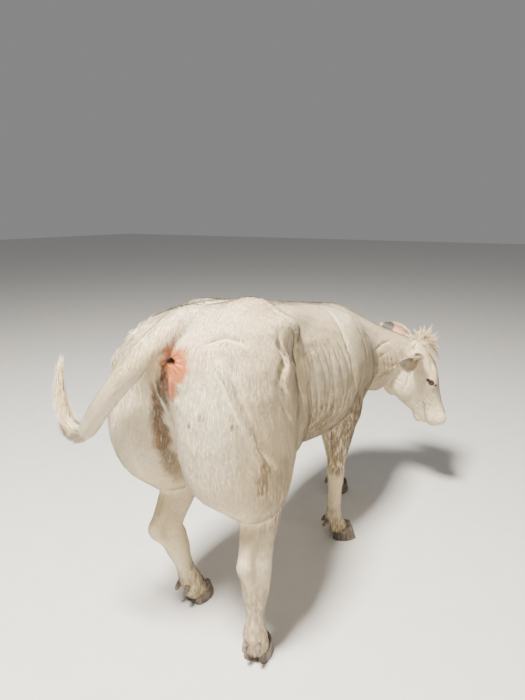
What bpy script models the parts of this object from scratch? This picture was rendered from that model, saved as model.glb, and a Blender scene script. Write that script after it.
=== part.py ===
"""A white Belgian Blue cow, life size, as a still model: a slow walk, head low and turned to its right.

Metres, +Z up, +X from rump to shoulders, +Y to the animal's left, floor at Z = 0.
The flesh is modelled whole from lofts and muscle masses, fused, creased along the living muscles,
thinned, and then parted into its nodes by thin cuts. Eyes, ears, claws and locks are made on their own.
"""

import math
import random
from dataclasses import dataclass

import bmesh
import bpy
import numpy as np
from mathutils import Matrix, Vector
from mathutils.kdtree import KDTree

# Driving dimensions of the animal.
RUMP_HEIGHT = 1.385
WITHERS_HEIGHT = 1.24
HEAD_LENGTH = 0.50
MOUTH_DEPTH = 0.009
MOUTH_GAP = 0.0028
EYE_RADIUS = 0.0195
EYE_SLIT = (1.45, 0.78)
EYE_ALONG = 0.224
EAR_LENGTH = 0.225
EAR_HALF_WIDTH = 0.055
CLAW_LENGTH = 0.125
DEWCLAW_LENGTH = 0.034
CUT_GAP = 0.0003
CLEFT_SHIFT = 0.020

# Resolution of the fused flesh, and how many triangles each region keeps.
CORE_VOXEL = 0.015
VOXEL = 0.005
FIRST_TRIANGLES = 60000
TRUNK_TRIANGLES = 2700
LEG_TRIANGLES = 2100
HEAD_TRIANGLES = 2300
TAIL_TRIANGLES = 500

# Place of the poll and the way the head points: turned right of the body, face line nearly upright.
POLL = Vector((0.935, -0.393, 0.985))
HEAD_TURN = math.radians(70)
HEAD_DROP = math.radians(72)

# The spine bends: how far its middle lies to the left of the X axis at some places along the body.
SPINE_AT = (-0.45, -0.10, 0.20, 0.45, 0.60)
SPINE_LEFT = (0.075, 0.050, 0.030, 0.020, 0.0)

LEFT, RIGHT = 1, -1
X_AXIS = Vector((1, 0, 0))
Z_AXIS = Vector((0, 0, 1))


def between(a, b, t):
    return Vector(a).lerp(Vector(b), t)


def spine(x):
    return float(np.interp(x, SPINE_AT, SPINE_LEFT))


@dataclass
class Ring:
    """One cross-section of a loft: its centre, half sizes and the directions it is drawn in."""

    at: tuple
    wide: float
    above: float
    below: float
    up: tuple = (0, 0, 1)
    side: tuple = (0, 1, 0)
    square: float = 2.0
    keel: float = 0.0

    def numbers(self):
        return np.array([*self.at, self.wide, self.above, self.below, *self.up, *self.side,
                         self.square, self.keel], float)

    @staticmethod
    def from_numbers(v):
        return Ring(tuple(v[:3]), v[3], v[4], v[5], tuple(v[6:9]), tuple(v[9:12]), v[12], v[13])

    def points(self, around):
        """A superellipse in the ring's plane, its lower half narrowed by the keel."""
        up, side = Vector(self.up).normalized(), Vector(self.side).normalized()
        power = 2 / self.square
        made = []
        for i in range(around):
            a = 2 * math.pi * i / around
            c, s = math.cos(a), math.sin(a)
            across = math.copysign(abs(c) ** power, c) * self.wide
            high = math.copysign(abs(s) ** power, s) * (self.above if s > 0 else self.below)
            if s < 0:
                across *= 1 - self.keel * (-s)
            made.append(Vector(self.at) + side * across + up * high)
        return made


def spline_rings(rings, steps):
    """Rings between the given ones, on a Catmull-Rom curve through all of their numbers."""
    rows = np.array([r.numbers() for r in rings])
    rows = np.vstack([2 * rows[0] - rows[1], rows, 2 * rows[-1] - rows[-2]])
    made = []
    for i in range(1, len(rows) - 2):
        a, b, c, d = rows[i - 1:i + 3]
        for k in range(steps):
            t = k / steps
            made.append(0.5 * (2 * b + (c - a) * t + (2 * a - 5 * b + 4 * c - d) * t ** 2
                               + (3 * b - a - 3 * c + d) * t ** 3))
    made.append(rows[-2])
    for row in made:
        row[3:6] = np.maximum(row[3:6], 0.002)
    return [Ring.from_numbers(row) for row in made]


def mesh_object(name, points, faces):
    """A new mesh object whose faces all point outwards."""
    mesh = bpy.data.meshes.new(name)
    mesh.from_pydata([tuple(p) for p in points], [], faces)
    work = bmesh.new()
    work.from_mesh(mesh)
    bmesh.ops.recalc_face_normals(work, faces=work.faces)
    work.to_mesh(mesh)
    work.free()
    obj = bpy.data.objects.new(name, mesh)
    bpy.context.scene.collection.objects.link(obj)
    return obj


def skin_over(name, loops, tip=None):
    """A closed solid through loops of equal length, capped flat, or drawn to a point at the tip."""
    around = len(loops[0])
    points, faces = [], []
    for loop in loops:
        points += loop
    for j in range(len(loops) - 1):
        for i in range(around):
            k = (i + 1) % around
            faces.append((j * around + i, j * around + k, (j + 1) * around + k, (j + 1) * around + i))
    last = (len(loops) - 1) * around
    faces.append(tuple(range(around))[::-1])
    if tip is None:
        faces.append(tuple(last + i for i in range(around)))
    else:
        points.append(tip)
        for i in range(around):
            faces.append((last + i, last + (i + 1) % around, len(points) - 1))
    return mesh_object(name, points, faces)


def loft(name, rings, around=28, steps=5):
    """A closed solid through the rings, smooth along its length."""
    return skin_over(name, [ring.points(around) for ring in spline_rings(rings, steps)])


def sweep(name, stations, around, up, steps=1, pointed=False):
    """A tube along a bent path whose section turns as little as it can.

    Each station is (centre, half width, half thickness). The thickness is measured along up.
    """
    rows = [Ring(tuple(at), wide, thick, thick) for at, wide, thick in stations]
    rows = spline_rings(rows, steps) if steps > 1 else rows
    at = [Vector(r.at) for r in rows]
    loops = []
    for i, row in enumerate(rows):
        along = (at[min(i + 1, len(at) - 1)] - at[max(i - 1, 0)]).normalized()
        up = (Vector(up) - along * along.dot(Vector(up))).normalized()
        row.up, row.side = tuple(up), tuple(along.cross(up))
        loops.append(row.points(around))
    if pointed:
        return skin_over(name, loops[:-1], at[-1])
    return skin_over(name, loops)


def mass(name, at, radii, turn=(0, 0, 0)):
    """One muscle or fat mass: an ellipsoid, turned by degrees about X, Y and Z."""
    bpy.ops.mesh.primitive_uv_sphere_add(segments=28, ring_count=16, radius=1, location=at,
                                         rotation=[math.radians(a) for a in turn])
    obj = bpy.context.object
    obj.name = name
    obj.scale = radii
    bpy.ops.object.transform_apply(location=True, rotation=True, scale=True)
    return obj


def head_axes():
    """The head's own directions: along the face to the nose, out of the forehead, and to its left."""
    level = Vector((math.cos(HEAD_TURN), -math.sin(HEAD_TURN), 0))
    along = level * math.cos(HEAD_DROP) - Z_AXIS * math.sin(HEAD_DROP)
    out = level * math.sin(HEAD_DROP) + Z_AXIS * math.cos(HEAD_DROP)
    return along, out, Z_AXIS.cross(level)


def on_head(along, out, left=0.0):
    """A point in the head's own measures from the poll, in metres, put in the body's frame."""
    a, o, l = head_axes()
    return POLL + a * along + o * out + l * left


def mass_on_head(name, at, radii):
    """An ellipsoid set in the head's own directions: along, out and left."""
    along, out, left = head_axes()
    obj = mass(name, (0, 0, 0), radii)
    turn = Matrix((along, out, left)).transposed().to_4x4()
    obj.data.transform(Matrix.Translation(on_head(*at)) @ turn)
    if turn.determinant() < 0:
        obj.data.flip_normals()
    return obj


def trunk():
    """The rump, loin, barrel and chest."""
    def section(x, top, bottom, wide, square=2.2, keel=0.0, widest=0.5):
        centre = bottom + (top - bottom) * widest
        return Ring((x, spine(x), centre), wide, top - centre, centre - bottom, square=square, keel=keel)

    rump, withers = RUMP_HEIGHT, WITHERS_HEIGHT
    form = [loft("trunk", [
        section(-0.80, rump - 0.14, 1.12, 0.06),
        section(-0.74, rump - 0.070, 1.00, 0.12),
        section(-0.62, rump - 0.015, 0.90, 0.20),
        section(-0.46, rump - 0.018, 0.80, 0.25),
        section(-0.28, rump - 0.034, 0.690, 0.240, 2.1),
        section(-0.10, rump - 0.060, 0.625, 0.250, 2.0),
        section(0.08, rump - 0.090, 0.590, 0.268, 2.0),
        section(0.24, rump - 0.116, 0.575, 0.277, 2.0),
        section(0.38, withers + 0.004, 0.585, 0.262, 2.0, 0.12),
        section(0.50, withers - 0.012, 0.585, 0.245, 2.0, 0.20, 0.46),
        section(0.62, withers - 0.080, 0.60, 0.212, 2.0, 0.25, 0.46),
        section(0.72, withers - 0.16, 0.63, 0.180, 2.0, 0.25),
        section(0.80, withers - 0.26, 0.68, 0.135),
        section(0.85, withers - 0.36, 0.75, 0.06),
    ], around=40, steps=5)]
    for s in (LEFT, RIGHT):
        form.append(mass("loin", (-0.12, spine(-0.12) + s * 0.088, rump - 0.155), (0.42, 0.085, 0.085),
                         (0, 9, 0)))
        form.append(mass("hook", (-0.33, spine(-0.4) + s * 0.205, rump - 0.135), (0.14, 0.060, 0.070),
                         (0, 10, 0)))
    form.append(mass("brisket", (0.715, 0.0, 0.735), (0.13, 0.10, 0.115), (0, -20, 0)))
    form.append(mass("udder", (-0.30, spine(-0.3), 0.72), (0.14, 0.095, 0.085), (0, 8, 0)))
    return form


def hindquarter(s, full, low, lower, gaskin):
    """Rump and thigh of one side, doubled as in the breed.

    full scales the thigh's width. low, lower and gaskin are the places of its lowest sections,
    which follow the leg.
    """
    middle = spine(-0.5)
    cleft = middle + CLEFT_SHIFT

    def level(z, x, y, long, wide, square=2.3):
        return Ring((x, y, z), wide, long, long, up=(1, 0, 0), side=(0, s, 0), square=square)

    return [
        loft("thigh", [
            level(1.335, -0.52, middle + s * 0.10, 0.14, 0.075),
            level(1.275, -0.53, middle + s * 0.128, 0.225, 0.112),
            level(1.15, -0.535, cleft + s * 0.156 * full, 0.268, 0.150 * full),
            level(1.00, -0.540, cleft + s * 0.165 * full, 0.290, 0.166 * full),
            level(0.88, -0.540, cleft + s * 0.168 * full, 0.284, 0.168 * full),
            level(0.785, low[0], low[1], 0.258, 0.162 * full),
            level(0.715, lower[0], lower[1], 0.210, 0.150 * full, 2.2),
            level(0.655, gaskin[0], gaskin[1], 0.140, 0.116, 2.1),
            level(0.610, gaskin[0] - 0.02, gaskin[1], 0.085, 0.070, 2.0),
        ], around=32, steps=4),
        mass("pin", (-0.745, middle + s * 0.090, 1.20), (0.070, 0.055, 0.10), (0, 12, 0)),
        mass("gluteal", (-0.40, middle + s * 0.108, 1.264 - s * 0.010), (0.21, 0.090, 0.113), (s * 8, 4, 0)),
        mass("rump_side", (-0.45, middle + s * 0.150, 1.195), (0.21, 0.105, 0.12), (s * 14, 4, 0)),
        mass("flank_fold", (-0.27, spine(-0.27) + s * 0.195, 0.86), (0.16, 0.075, 0.17), (0, 32, 0)),
    ]


def shoulder(s, elbow):
    """Blade, point of shoulder and upper arm, which follow the elbow."""
    point = Vector((0.65, s * 0.125, 0.89))
    return [
        mass("shoulder_blade", (0.39, spine(0.39) + s * 0.175, 1.00), (0.165, 0.078, 0.225),
             (s * 12, -20, -s * 8)),
        mass("shoulder_point", point, (0.12, 0.070, 0.17), (0, -20, 0)),
        mass("upper_arm", between(point, elbow, 0.60) + Vector((0, s * 0.012, 0.06)),
             (0.175, 0.080, 0.14), (0, -15, 0)),
    ]


@dataclass
class Leg:
    """Joints of one leg, from stifle or elbow down to the middle of the foot, and the foot's heading."""

    side: int
    top: tuple
    knee: tuple
    fetlock: tuple
    foot: tuple
    heading: float = 0.0

    def lower(self, stations):
        """A limb through stations given as (joint above, joint below, way down, half width, half depth)."""
        joints = dict(top=self.top, knee=self.knee, fetlock=self.fetlock, foot=self.foot)
        turned = dict(top=(0.0, 0.25), knee=(0.25, 0.75), fetlock=(0.75, 1.0))
        centres = [between(joints[above], joints[below], t) for above, below, t, _, _ in stations]
        rings = []
        for i, (above, _, t, wide, deep) in enumerate(stations):
            first, last = turned[above]
            heading = self.heading * (first + (last - first) * max(0.0, t))
            along = (centres[min(i + 1, len(centres) - 1)] - centres[max(i - 1, 0)]).normalized()
            ahead = Vector((math.cos(heading), math.sin(heading), 0))
            ahead = (ahead - along * along.dot(ahead)).normalized()
            rings.append(Ring(tuple(centres[i]), wide, deep, deep, tuple(ahead), tuple(along.cross(ahead))))
        return loft("limb", rings, 20, 4)


class HindLeg(Leg):
    """A hind leg below the stifle, with the tendon that runs down to the point of the hock."""

    def form(self):
        leg = self.lower([
            ("top", "knee", -0.15, 0.095, 0.115),
            ("top", "knee", 0.25, 0.088, 0.108),
            ("top", "knee", 0.55, 0.074, 0.088),
            ("top", "knee", 0.80, 0.060, 0.068),
            ("top", "knee", 1.00, 0.061, 0.058),
            ("knee", "fetlock", 0.18, 0.060, 0.056),
            ("knee", "fetlock", 0.42, 0.053, 0.052),
            ("knee", "fetlock", 0.62, 0.038, 0.043),
            ("knee", "fetlock", 0.80, 0.036, 0.041),
            ("fetlock", "foot", 0.00, 0.050, 0.049),
            ("fetlock", "foot", 0.35, 0.049, 0.046),
            ("fetlock", "foot", 0.62, 0.053, 0.053),
            ("fetlock", "foot", 0.95, 0.052, 0.053),
        ])
        stifle, hock = Vector(self.top), Vector(self.knee)
        point = hock + Vector((-0.078, 0, 0.012))
        start = between(stifle, hock, 0.30) - X_AXIS * 0.07
        fetlock = Vector(self.fetlock)
        tendon = sweep("tendon", [
            (start, 0.055, 0.055),
            (between(start, point, 0.45), 0.036, 0.040),
            (between(start, point, 0.80), 0.029, 0.033),
            (point, 0.033, 0.031),
            (between(hock, fetlock, 0.17) - X_AXIS * 0.046, 0.032, 0.028),
            (between(hock, fetlock, 0.48) - X_AXIS * 0.016, 0.024, 0.022),
        ], 14, -X_AXIS, steps=4)
        web = sweep("web", [
            (between(start, hock, 0.20) + X_AXIS * 0.01, 0.045, 0.060),
            (between(start, hock, 0.60), 0.030, 0.048),
            (between(point, hock, 0.5), 0.033, 0.048),
            (between(point, hock, 0.6) + (fetlock - hock) * 0.25, 0.034, 0.034),
        ], 14, X_AXIS, steps=4)
        return [leg, tendon, web]


class ForeLeg(Leg):
    """A foreleg below the elbow."""

    def root(self):
        """The upper arm, blended with the trunk."""
        inward = Vector(self.top) + Vector((0.04, -0.065 * self.side, 0.14))
        return sweep("arm_root", [(inward, 0.065, 0.12), (self.top, 0.078, 0.118),
                                  (between(self.top, self.knee, 0.35), 0.060, 0.075)], 20, X_AXIS, steps=4)

    def form(self):
        return [self.lower([
            ("top", "knee", -0.06, 0.072, 0.110),
            ("top", "knee", 0.06, 0.073, 0.102),
            ("top", "knee", 0.28, 0.063, 0.082),
            ("top", "knee", 0.58, 0.050, 0.058),
            ("top", "knee", 0.84, 0.044, 0.046),
            ("top", "knee", 1.00, 0.050, 0.050),
            ("knee", "fetlock", 0.16, 0.044, 0.045),
            ("knee", "fetlock", 0.50, 0.035, 0.039),
            ("knee", "fetlock", 0.84, 0.037, 0.040),
            ("fetlock", "foot", 0.00, 0.047, 0.047),
            ("fetlock", "foot", 0.38, 0.047, 0.045),
            ("fetlock", "foot", 0.62, 0.053, 0.053),
            ("fetlock", "foot", 0.95, 0.052, 0.053),
        ])]


LEGS = {
    "hind_right": HindLeg(RIGHT, (-0.490, -0.150, 0.745), (-0.610, -0.183, 0.450), (-0.612, -0.178, 0.125),
                          (-0.575, -0.170, 0.0), math.radians(15)),
    "hind_left": HindLeg(LEFT, (-0.430, 0.235, 0.735), (-0.595, 0.240, 0.455), (-0.490, 0.228, 0.135),
                         (-0.435, 0.222, 0.0), math.radians(-6)),
    "fore_right": ForeLeg(RIGHT, (0.385, -0.140, 0.715), (0.325, -0.115, 0.375), (0.292, -0.125, 0.120),
                          (0.320, -0.165, 0.0), math.radians(-60)),
    "fore_left": ForeLeg(LEFT, (0.560, 0.135, 0.715), (0.676, 0.068, 0.385), (0.711, 0.044, 0.125),
                         (0.754, 0.034, 0.0), math.radians(-8)),
}


def neck():
    """The neck, bending from the withers down and round to the right."""
    _, out, left = head_axes()
    throat = on_head(0.18, -0.265)
    nape = on_head(-0.015, -0.05)
    upward = tuple((nape - throat).normalized())
    middle = between(nape, throat, 0.5)

    def turned(degrees, lean):
        a = math.radians(degrees)
        return dict(side=(math.sin(a), math.cos(a), 0), up=(lean * math.cos(a), -lean * math.sin(a), 1))

    return [loft("neck", [
        Ring((0.40, 0.015, 0.95), 0.215, 0.27, 0.27, **turned(0, 0.10)),
        Ring((0.55, 0, 0.93), 0.195, 0.265, 0.26, **turned(8, 0.20)),
        Ring((0.66, -0.045, 0.905), 0.160, 0.235, 0.235, **turned(20, 0.25)),
        Ring((0.755, -0.12, 0.885), 0.128, 0.200, 0.205, **turned(38, 0.20), keel=0.3),
        Ring((0.825, -0.20, 0.870), 0.108, 0.170, 0.200, **turned(54, 0.15), keel=0.35),
        Ring(tuple(middle), 0.095, 0.140, 0.172, up=upward, side=tuple(left), keel=0.35),
        Ring(tuple(middle + out * 0.10), 0.075, 0.10, 0.10, up=upward, side=tuple(left)),
    ], around=32)]


def head():
    """The skull's form with cheeks, brows and muzzle, in rings from the poll to the nose."""
    _, out, left = head_axes()
    k = HEAD_LENGTH / 0.50

    def section(s, top, bottom, wide, square=2.2, keel=0.0, widest=0.55):
        centre = bottom + (top - bottom) * widest
        return Ring(tuple(on_head(s * k, centre)), wide, top - centre, centre - bottom,
                    up=tuple(out), side=tuple(left), square=square, keel=keel)

    form = [loft("skull", [
        section(-0.025, -0.035, -0.11, 0.055),
        section(0.00, -0.004, -0.165, 0.084, 2.3),
        section(0.05, 0.010, -0.205, 0.092, 2.4, 0.25, 0.62),
        section(0.11, 0.014, -0.240, 0.098, 2.5, 0.35, 0.66),
        section(0.17, 0.014, -0.262, 0.102, 2.5, 0.42, 0.70),
        section(0.225, 0.010, -0.268, 0.098, 2.4, 0.42, 0.70),
        section(0.28, 0.003, -0.256, 0.086, 2.3, 0.38, 0.66),
        section(0.335, -0.003, -0.226, 0.073, 2.3, 0.30, 0.62),
        section(0.385, -0.006, -0.192, 0.067, 2.4, 0.18, 0.58),
        section(0.435, -0.005, -0.168, 0.071, 2.6, 0.15, 0.60),
        section(0.478, -0.010, -0.142, 0.071, 2.6, 0.25, 0.62),
        section(0.508, -0.032, -0.105, 0.053, 2.4),
    ], around=36, steps=5)]
    for s in (LEFT, RIGHT):
        form.append(mass_on_head("orbit", (EYE_ALONG - 0.004, -0.042, s * 0.072), (0.056, 0.042, 0.034)))
        form.append(mass_on_head("brow", (EYE_ALONG - 0.036, -0.012, s * 0.066), (0.058, 0.020, 0.028)))
        form.append(mass_on_head("cheek", (0.205, -0.175, s * 0.050), (0.100, 0.085, 0.038)))
        form.append(mass_on_head("cheek_ridge", (0.295, -0.078, s * 0.058), (0.085, 0.020, 0.020)))
        form.append(mass_on_head("nostril_wing", (0.462, -0.047, s * 0.049), (0.042, 0.042, 0.031)))
        form.append(mass_on_head("upper_lip", (0.442, -0.092, s * 0.044), (0.052, 0.030, 0.034)))
    form.append(mass_on_head("chin", (0.432, -0.160, 0), (0.044, 0.026, 0.042)))
    form.append(mass_on_head("throat", (0.205, -0.262, 0), (0.075, 0.045, 0.036)))
    form.append(mass_on_head("poll_bump", (0.005, -0.022, 0), (0.034, 0.044, 0.064)))
    return form


# The tail's path, from the tail head down the left buttock to the bend where its hair is flicked up.
TAIL_PATH = [
    ((-0.56, 0.075, 1.315), 0.075, 0.060),
    ((-0.66, 0.070, 1.320), 0.066, 0.056),
    ((-0.76, 0.065, 1.300), 0.056, 0.050),
    ((-0.848, 0.095, 1.238), 0.048, 0.042),
    ((-0.888, 0.158, 1.152), 0.042, 0.036),
    ((-0.900, 0.228, 1.068), 0.038, 0.032),
    ((-0.902, 0.283, 0.996), 0.034, 0.028),
    ((-0.904, 0.330, 0.948), 0.032, 0.026),
    ((-0.908, 0.372, 0.950), 0.029, 0.022),
    ((-0.910, 0.398, 0.985), 0.022, 0.017),
    ((-0.910, 0.412, 1.030), 0.014, 0.010),
]


def tail():
    return sweep("tail", TAIL_PATH, 18, Z_AXIS, steps=4)


def fuse(name, pieces, voxel):
    """All of the pieces as one closed surface."""
    bpy.ops.object.select_all(action="DESELECT")
    for piece in pieces:
        piece.select_set(True)
    bpy.context.view_layer.objects.active = pieces[0]
    bpy.ops.object.join()
    whole = bpy.context.object
    whole.name = name
    remesh = whole.modifiers.new("fuse", "REMESH")
    remesh.mode = "VOXEL"
    remesh.voxel_size = voxel
    bpy.ops.object.modifier_apply(modifier=remesh.name)
    return whole


def soften(obj, factor, times):
    smooth = obj.modifiers.new("soften", "SMOOTH")
    smooth.factor = factor
    smooth.iterations = times
    bpy.context.view_layer.objects.active = obj
    bpy.ops.object.modifier_apply(modifier=smooth.name)


def flesh():
    """The whole body as one smooth surface."""
    core = trunk()
    core += hindquarter(LEFT, 0.92, (-0.530, 0.250), (-0.530, 0.252), (-0.535, 0.245))
    core += hindquarter(RIGHT, 1.06, (-0.552, -0.095), (-0.562, -0.112), (-0.565, -0.150))
    for name in ("fore_left", "fore_right"):
        core += shoulder(LEGS[name].side, LEGS[name].top)
        core.append(LEGS[name].root())
    core = fuse("core", core + neck(), CORE_VOXEL)
    soften(core, 0.5, 32)
    pieces = [core, tail()] + head()
    for leg in LEGS.values():
        pieces += leg.form()
    whole = fuse("flesh", pieces, VOXEL)
    soften(whole, 0.5, 14)
    return whole


def snapped(tree, path, spacing=0.005):
    """The path drawn in short steps on the surface."""
    points = []
    for a, b in zip(path[:-1], path[1:]):
        steps = max(1, int((Vector(b) - Vector(a)).length / spacing))
        points += [tree.find(between(a, b, k / steps))[0] for k in range(steps)]
    points.append(tree.find(Vector(path[-1]))[0])
    return np.array(points)


def crease(obj, strokes):
    """Presses grooves, and raises ridges where the depth is negative, along paths drawn on the surface."""
    mesh = obj.data
    at = coordinates(obj)
    normals = np.empty(len(at) * 3, np.float32)
    mesh.vertex_normals.foreach_get("vector", normals)
    normals = normals.reshape(-1, 3)
    tree = KDTree(len(at))
    for i, p in enumerate(at):
        tree.insert(p, i)
    tree.balance()
    moves = np.zeros(len(at))
    for width, depth, path in strokes:
        line = snapped(tree, path)
        near = np.all((at > line.min(axis=0) - width) & (at < line.max(axis=0) + width), axis=1)
        near = np.nonzero(near)[0]
        gaps = np.linalg.norm(at[near, None, :] - line[None, ::2, :], axis=2)
        far = gaps.min(axis=1) / width
        where = gaps.argmin(axis=1) / max(1, gaps.shape[1] - 1)
        ends = np.clip(np.minimum(where, 1 - where) / 0.2 + 0.35, 0, 1)
        moves[near] -= depth * np.clip(1 - far ** 2, 0, None) ** 2 * ends
    mesh.vertices.foreach_set("co", (at + normals * moves[:, None]).ravel())
    mesh.update()


def both_sides(path):
    """The path and its mirror image across the bent spine."""
    return [path, [(x, 2 * spine(x) - y, z) for x, y, z in path]]


# Creases between the muscles of the right side, drawn on both. Each is (half width, depth, path).
BODY_CREASES = [
    # The long seam down the back of the thigh.
    (0.016, 0.008, [(-0.768, -0.140, 1.219), (-0.768, -0.165, 1.187), (-0.764, -0.188, 1.145),
                    (-0.753, -0.205, 1.096), (-0.730, -0.220, 1.040), (-0.700, -0.231, 0.977),
                    (-0.664, -0.239, 0.911), (-0.635, -0.246, 0.864)]),
    # Before the haunch, from the hook down the flank.
    (0.036, 0.014, [(-0.335, -0.079, 1.363), (-0.330, -0.132, 1.326), (-0.310, -0.178, 1.285),
                    (-0.275, -0.185, 1.215), (-0.245, -0.189, 1.139), (-0.248, -0.198, 1.073),
                    (-0.230, -0.200, 0.980)]),
    # The arc of the pin and the dimple of the hip joint.
    (0.022, 0.006, [(-0.752, -0.088, 1.272), (-0.723, -0.091, 1.292), (-0.690, -0.115, 1.298),
                    (-0.658, -0.147, 1.289), (-0.636, -0.179, 1.265)]),
    (0.026, 0.009, [(-0.424, -0.179, 1.274), (-0.430, -0.211, 1.213), (-0.451, -0.234, 1.159),
                    (-0.510, -0.242, 1.150), (-0.544, -0.248, 1.114), (-0.511, -0.251, 1.050),
                    (-0.465, -0.249, 0.967)]),
    # Behind the shoulder blade, along its spine, and where the neck begins.
    (0.034, 0.010, [(0.235, -0.080, 1.240), (0.205, -0.170, 1.180), (0.190, -0.230, 1.080),
                    (0.210, -0.250, 0.980), (0.245, -0.245, 0.880)]),
    (0.022, 0.006, [(0.400, -0.090, 1.205), (0.390, -0.180, 1.110), (0.410, -0.220, 0.990)]),
    (0.032, 0.011, [(0.530, -0.030, 1.210), (0.545, -0.110, 1.130), (0.560, -0.160, 1.030),
                    (0.585, -0.185, 0.920), (0.600, -0.175, 0.800)]),
]

# Folds of the right side of the neck, the groove of the back, and the soft parts under the tail.
OTHER_CREASES = [
    (0.030, 0.011, [(-0.560, 0.075, 1.370), (-0.300, 0.065, 1.360), (0.000, 0.045, 1.310), (0.280, 0.027, 1.270)]),
    (0.012, 0.005, [(0.700, -0.200, 0.880), (0.740, -0.262, 0.850), (0.775, -0.300, 0.870)]),
    (0.012, 0.005, [(0.690, -0.190, 0.820), (0.745, -0.240, 0.800), (0.795, -0.280, 0.835)]),
    (0.014, 0.006, [(0.640, -0.180, 0.960), (0.690, -0.220, 0.990), (0.740, -0.255, 1.010)]),
    (0.020, 0.016, [(-0.800, 0.024, 1.222), (-0.800, 0.028, 1.216)]),
    (0.014, -0.005, [(-0.800, 0.052, 1.235), (-0.800, 0.052, 1.200), (-0.800, 0.000, 1.200),
                     (-0.800, 0.000, 1.235)]),
    (0.011, 0.010, [(-0.800, 0.040, 1.170), (-0.795, 0.046, 1.130), (-0.785, 0.055, 1.090)]),
    (0.020, -0.009, [(-0.800, 0.020, 1.170), (-0.795, 0.026, 1.130), (-0.785, 0.038, 1.090)]),
    (0.020, -0.009, [(-0.800, 0.060, 1.170), (-0.795, 0.068, 1.130), (-0.785, 0.078, 1.090)]),
]


def head_strokes():
    """Creases of the face, in the head's own measures."""
    made = []
    for s in (LEFT, RIGHT):
        def face(width, depth, path):
            made.append((width, depth, [tuple(on_head(a, o, l * s)) for a, o, l in path]))

        face(0.016, 0.006, [(0.491, -0.119, 0.0), (0.482, -0.121, 0.030), (0.459, -0.121, 0.052),
                            (0.420, -0.118, 0.062), (0.383, -0.113, 0.063), (0.353, -0.109, 0.064)])
        face(0.008, 0.004, [(0.355, -0.107, 0.064), (0.338, -0.117, 0.066), (0.328, -0.131, 0.064)])
        face(0.007, 0.003, [(0.368, -0.092, 0.063), (0.348, -0.090, 0.066), (0.325, -0.096, 0.068)])
        face(0.012, 0.005, [(0.257, -0.060, 0.095), (0.282, -0.052, 0.082), (0.310, -0.040, 0.066)])
        face(0.008, 0.0035, [(0.197, -0.070, 0.098), (0.217, -0.078, 0.100), (0.244, -0.074, 0.097)])
        face(0.010, 0.004, [(0.172, -0.025, 0.085), (0.202, -0.012, 0.080), (0.237, -0.012, 0.075)])
        face(0.016, 0.006, [(0.070, -0.100, 0.092), (0.100, -0.160, 0.085), (0.140, -0.225, 0.060)])
    made.append((0.012, -0.004, [tuple(on_head(0.44, 0.0, -0.03)), tuple(on_head(0.445, 0.003, 0.0)),
                                 tuple(on_head(0.44, 0.0, 0.03))]))
    return made


def thin(obj, keep):
    """Thins each region to its own number of triangles. keep is a list of (test of the points, triangles)."""
    bpy.context.view_layer.objects.active = obj
    triangulate = obj.modifiers.new("triangles", "TRIANGULATE")
    bpy.ops.object.modifier_apply(modifier=triangulate.name)
    decimate = obj.modifiers.new("thin", "DECIMATE")
    decimate.ratio = FIRST_TRIANGLES / len(obj.data.polygons)
    bpy.ops.object.modifier_apply(modifier=decimate.name)
    for test, wanted in keep:
        inside = test(coordinates(obj))
        corners = np.empty(len(obj.data.polygons) * 3, np.int32)
        obj.data.polygons.foreach_get("vertices", corners)
        mine = int(inside[corners.reshape(-1, 3)].all(axis=1).sum())
        total = len(obj.data.polygons)
        group = obj.vertex_groups.new(name="region")
        group.add(np.nonzero(inside)[0].tolist(), 1.0, "REPLACE")
        decimate = obj.modifiers.new("thin", "DECIMATE")
        decimate.vertex_group = group.name
        decimate.ratio = (total - mine + wanted) / total
        bpy.ops.object.modifier_apply(modifier=decimate.name)
        obj.vertex_groups.clear()


def coordinates(obj):
    points = np.empty(len(obj.data.vertices) * 3)
    obj.data.vertices.foreach_get("co", points)
    return points.reshape(-1, 3)


def on_the_head(p):
    near = np.linalg.norm(p - np.array(on_head(0.18, -0.10)), axis=1) < 0.33
    return near & ((p - np.array(on_head(0.0, -0.12))) @ np.array(head_axes()[0]) > -0.05)


def on_a_leg(p):
    return p[:, 2] < 0.58


def on_the_tail(p):
    """Points near the free part of the tail."""
    path = [np.array(at) for at, _, _ in TAIL_PATH[3:]]
    far = np.full(len(p), 9.0)
    for a, b in zip(path[:-1], path[1:]):
        t = np.clip((p - a) @ (b - a) / ((b - a) @ (b - a)), 0, 1)
        far = np.minimum(far, np.linalg.norm(p - (a + t[:, None] * (b - a)), axis=1))
    return (far < 0.055) & (p[:, 0] < -0.825)


def on_the_trunk(p):
    return ~(on_the_head(p) | on_a_leg(p) | on_the_tail(p))


def block(at, along, sizes, up=(0, 0, 1)):
    """A box turned so that its first axis runs along the given way. sizes are its half lengths."""
    along = Vector(along).normalized()
    side = Vector(up).cross(along).normalized()
    turn = Matrix((along, side, along.cross(side))).transposed().to_4x4()
    bpy.ops.mesh.primitive_cube_add(size=2)
    obj = bpy.context.object
    obj.data.transform(Matrix.Translation(Vector(at)) @ turn @ Matrix.Diagonal((*sizes, 1)))
    return obj


def joined(name, pieces):
    bpy.ops.object.select_all(action="DESELECT")
    for piece in pieces:
        piece.select_set(True)
    bpy.context.view_layer.objects.active = pieces[0]
    bpy.ops.object.join()
    bpy.context.object.name = name
    return bpy.context.object


def combine(obj, other, operation):
    """One Boolean, applied. The other object is used up."""
    boolean = obj.modifiers.new("boolean", "BOOLEAN")
    boolean.operation = operation
    boolean.solver = "MANIFOLD"
    boolean.object = other
    bpy.context.view_layer.objects.active = obj
    bpy.ops.object.modifier_apply(modifier=boolean.name)
    bpy.data.objects.remove(other)
    return obj


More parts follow.
